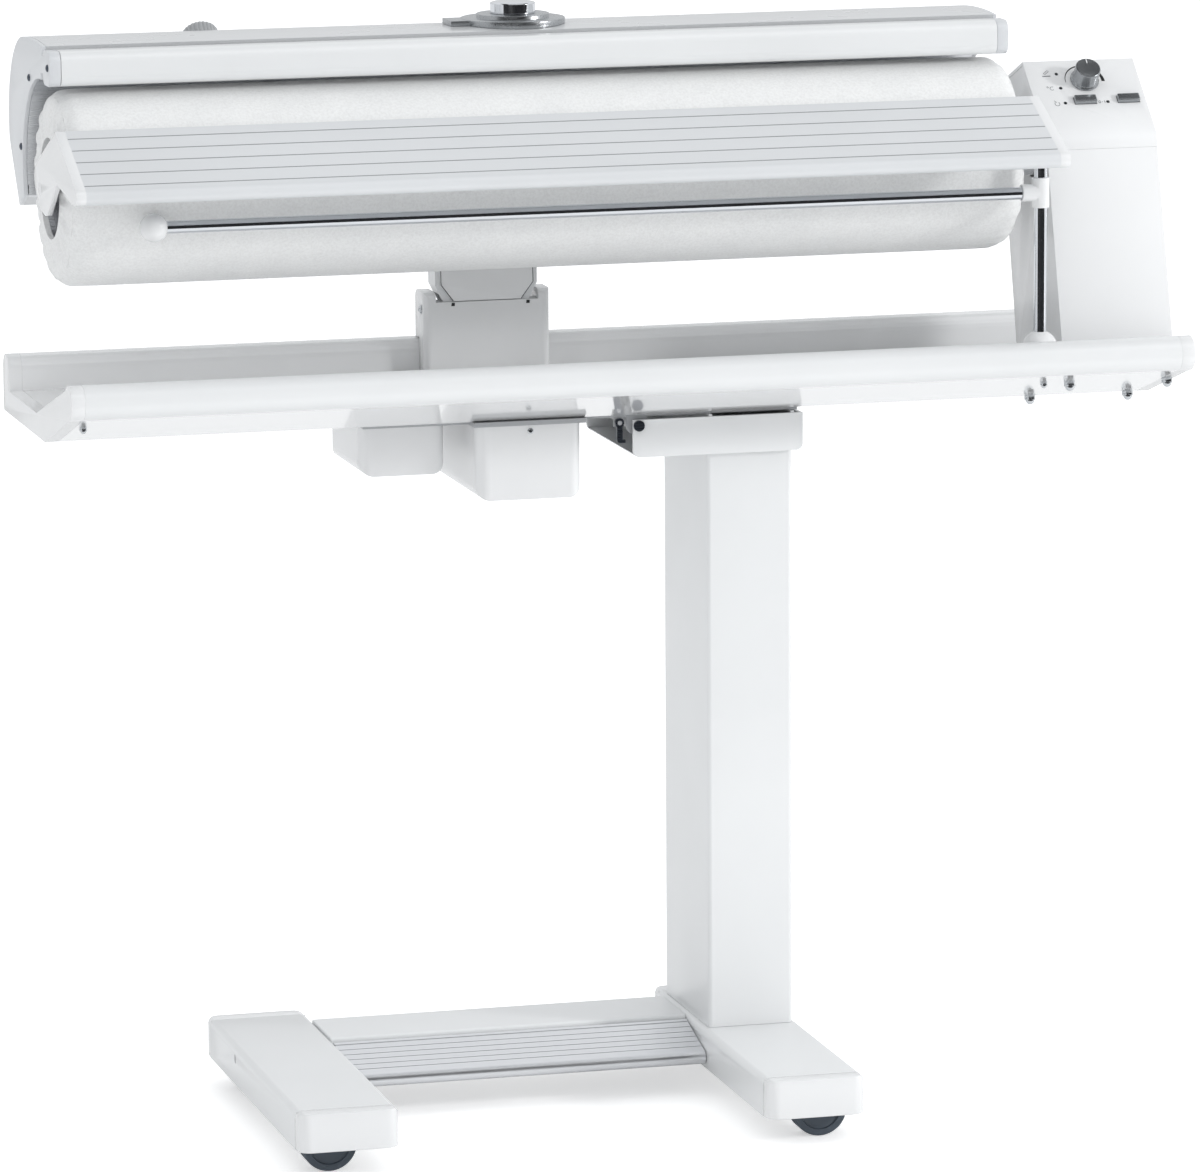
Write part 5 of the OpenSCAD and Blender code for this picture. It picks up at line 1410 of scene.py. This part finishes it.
@dataclass
class Studio:
    """The floor, the lights, the cards and the camera.

    Attributes:
        eye: The camera's place, in metres.
        yaw: Its turn to the right, in radians.
        pitch: Its tilt down, in radians.
        roll: Its turn about the view, in radians.
        lens: Its focal length in millimetres.
        sensor: The width of its sensor in millimetres.
        farthest: How far it sees, in metres.
        floor_half: Half the length of the floor's side.
        sky_low: The strength of the sky at the horizon.
        sky_high: Its strength overhead.
        floor_glow: The light that the floor gives off by itself.
        floor_white: What is added to this where the camera sees the floor.
        lamps: The lamps.
    """

    eye: Point = (-1.673359, -6.258628, 1.626007)
    yaw: float = 0.2601119
    pitch: float = 0.1779092
    roll: float = 0.0058950
    lens: float = 227.968
    sensor: float = 36.0
    farthest: float = 60.0
    floor_half: float = 12.0
    sky_low: float = 0.70
    sky_high: float = 0.98
    floor_glow: float = 0.05
    floor_white: float = 0.4
    lamps: tuple[Lamp, ...] = (
        Lamp("key", (4.75, -2.9, 2.25), (0.0, 0.0, 0.66), 0.7, 115.0),
        Lamp("fill", (-1.9, -4.6, 0.75), (0.0, 0.0, 0.6), 1.6, 14.0),
    )

    def camera(self) -> None:
        """Makes the camera at the photograph's angle."""
        level = math.cos(self.pitch)
        ahead = Vector((math.sin(self.yaw) * level, math.cos(self.yaw) * level, -math.sin(self.pitch)))
        right = Vector((math.cos(self.yaw), -math.sin(self.yaw), 0.0))
        down = ahead.cross(right)
        across = right * math.cos(self.roll) + down * math.sin(self.roll)
        below = down * math.cos(self.roll) - right * math.sin(self.roll)
        turn = Matrix((across, -below, -ahead)).transposed().to_4x4()
        data = bpy.data.cameras.new("photo_camera")
        data.sensor_fit = "HORIZONTAL"
        data.sensor_width = self.sensor
        data.lens = self.lens
        data.clip_end = self.farthest
        made = bpy.data.objects.new("photo_camera", data)
        made.matrix_world = Matrix.Translation(Vector(self.eye)) @ turn
        bpy.context.scene.collection.objects.link(made)
        bpy.context.scene.camera = made

    @staticmethod
    def card(name: str, size: float, place: Matrix, finish: Finish, groups: Groups) -> bpy.types.Object:
        """Sets up one square sheet of the studio.

        Args:
            name: The sheet's name.
            size: Half the length of its side.
            place: Where it stands, in metres.
            finish: Its colour.
            groups: The shared node groups.

        Returns:
            The sheet.
        """
        shape = bmesh.new()
        bmesh.ops.create_grid(shape, x_segments=1, y_segments=1, size=size, matrix=place)
        mesh = bpy.data.meshes.new(name)
        shape.to_mesh(mesh)
        shape.free()
        made = bpy.data.objects.new(name, mesh)
        bpy.context.scene.collection.objects.link(made)
        made.data.materials.append(finish.material(groups))
        return made

    def sheets(self, groups: Groups) -> None:
        """Lays the pale floor and hangs the dark cards that give the bright metal its dark lines.

        Args:
            groups: The shared node groups.
        """
        paper = Finish("pale_floor", (0.93, 0.93, 0.93), 0.7)
        floor = self.card("floor", self.floor_half, Matrix.Identity(4), paper, groups)
        tree = floor.data.materials[0].node_tree
        glow = tree.nodes["Principled BSDF"]
        fill(glow, Emission_Color=PURE_WHITE)
        path = added(tree, "LightPath")
        shown = added(tree, "Math", "MULTIPLY_ADD")
        shown.inputs[1].default_value = self.floor_white
        shown.inputs[2].default_value = self.floor_glow
        joined(tree, (path, "Is Camera Ray", shown, 0), (shown, 0, glow, "Emission Strength"))
        felt = Finish("dark_card", (0.01, 0.01, 0.012), 0.9)
        upright = Matrix.Rotation(math.radians(90.0), 4, "X") @ Matrix.Diagonal((3.0, 1.02, 1.0, 1.0))
        before = Matrix.Translation((0.0, -1.5, 1.08)) @ upright
        over = Matrix.Translation((0.15, 0.0, 2.5)) @ Matrix.Diagonal((1.7, 0.8, 1.0, 1.0))
        for name, place in (("front", before), ("above", over)):
            made = self.card(f"dark_card_{name}", 1.0, place, felt, groups)
            made.visible_camera = False
            made.visible_diffuse = False
            made.visible_shadow = False
            made.visible_transmission = False

    def lights(self) -> None:
        """Sets the sky, which looks white and lights softly, and the lamps."""
        world = bpy.data.worlds.new("studio_sky")
        world.use_nodes = True
        tree = world.node_tree
        lit = tree.nodes["Background"]
        fill(lit, Color=(0.97, 0.985, 1.0, 1.0))
        way = added(tree, "TexCoord")
        split = added(tree, "SeparateXYZ")
        rise = added(tree, "MapRange", To_Min=self.sky_low, To_Max=self.sky_high)
        seen = added(tree, "Background", Color=PURE_WHITE)
        path = added(tree, "LightPath")
        mix = added(tree, "MixShader")
        joined(
            tree, (way, "Generated", split, 0), (split, "Z", rise, "Value"),
            (rise, "Result", lit, "Strength"), (path, "Is Camera Ray", mix, "Fac"),
            (lit, "Background", mix, 1), (seen, "Background", mix, 2),
            (mix, "Shader", tree.nodes["World Output"], "Surface"),
        )
        bpy.context.scene.world = world
        for lamp in self.lamps:
            lamp.hang()

    def build(self, groups: Groups) -> None:
        """Makes camera, sheets and lights.

        Args:
            groups: The shared node groups.
        """
        bpy.context.scene.view_settings.view_transform = "Standard"
        self.camera()
        self.sheets(groups)
        self.lights()


def dress_nodes(bench: Bench) -> None:
    """Gives every solid its finish.

    Args:
        bench: The solids and the shared groups.
    """
    for name, node in bench.nodes.items():
        finish = NODE_FINISHES[name]
        material = finish.material(bench.groups)
        if not node.material_slots:
            node.data.materials.append(material)
        for slot in node.material_slots:
            slot.material = material
        LOG.info("dressed %s with %s", name, finish.name)


def main() -> None:
    """Loads the solids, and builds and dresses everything."""
    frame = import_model()
    bench = Bench(frame)
    dress_nodes(bench)
    for kind in (Softening, RollerCloth, Shoe, FlutedKnob, Tray, Neck, FeedBoard, Controls):
        kind(bench).build()
        LOG.info("built %s", kind.__name__)
    Studio().build(bench.groups)


if __name__ == "__main__":
    logging.basicConfig(level=logging.INFO)
    main()
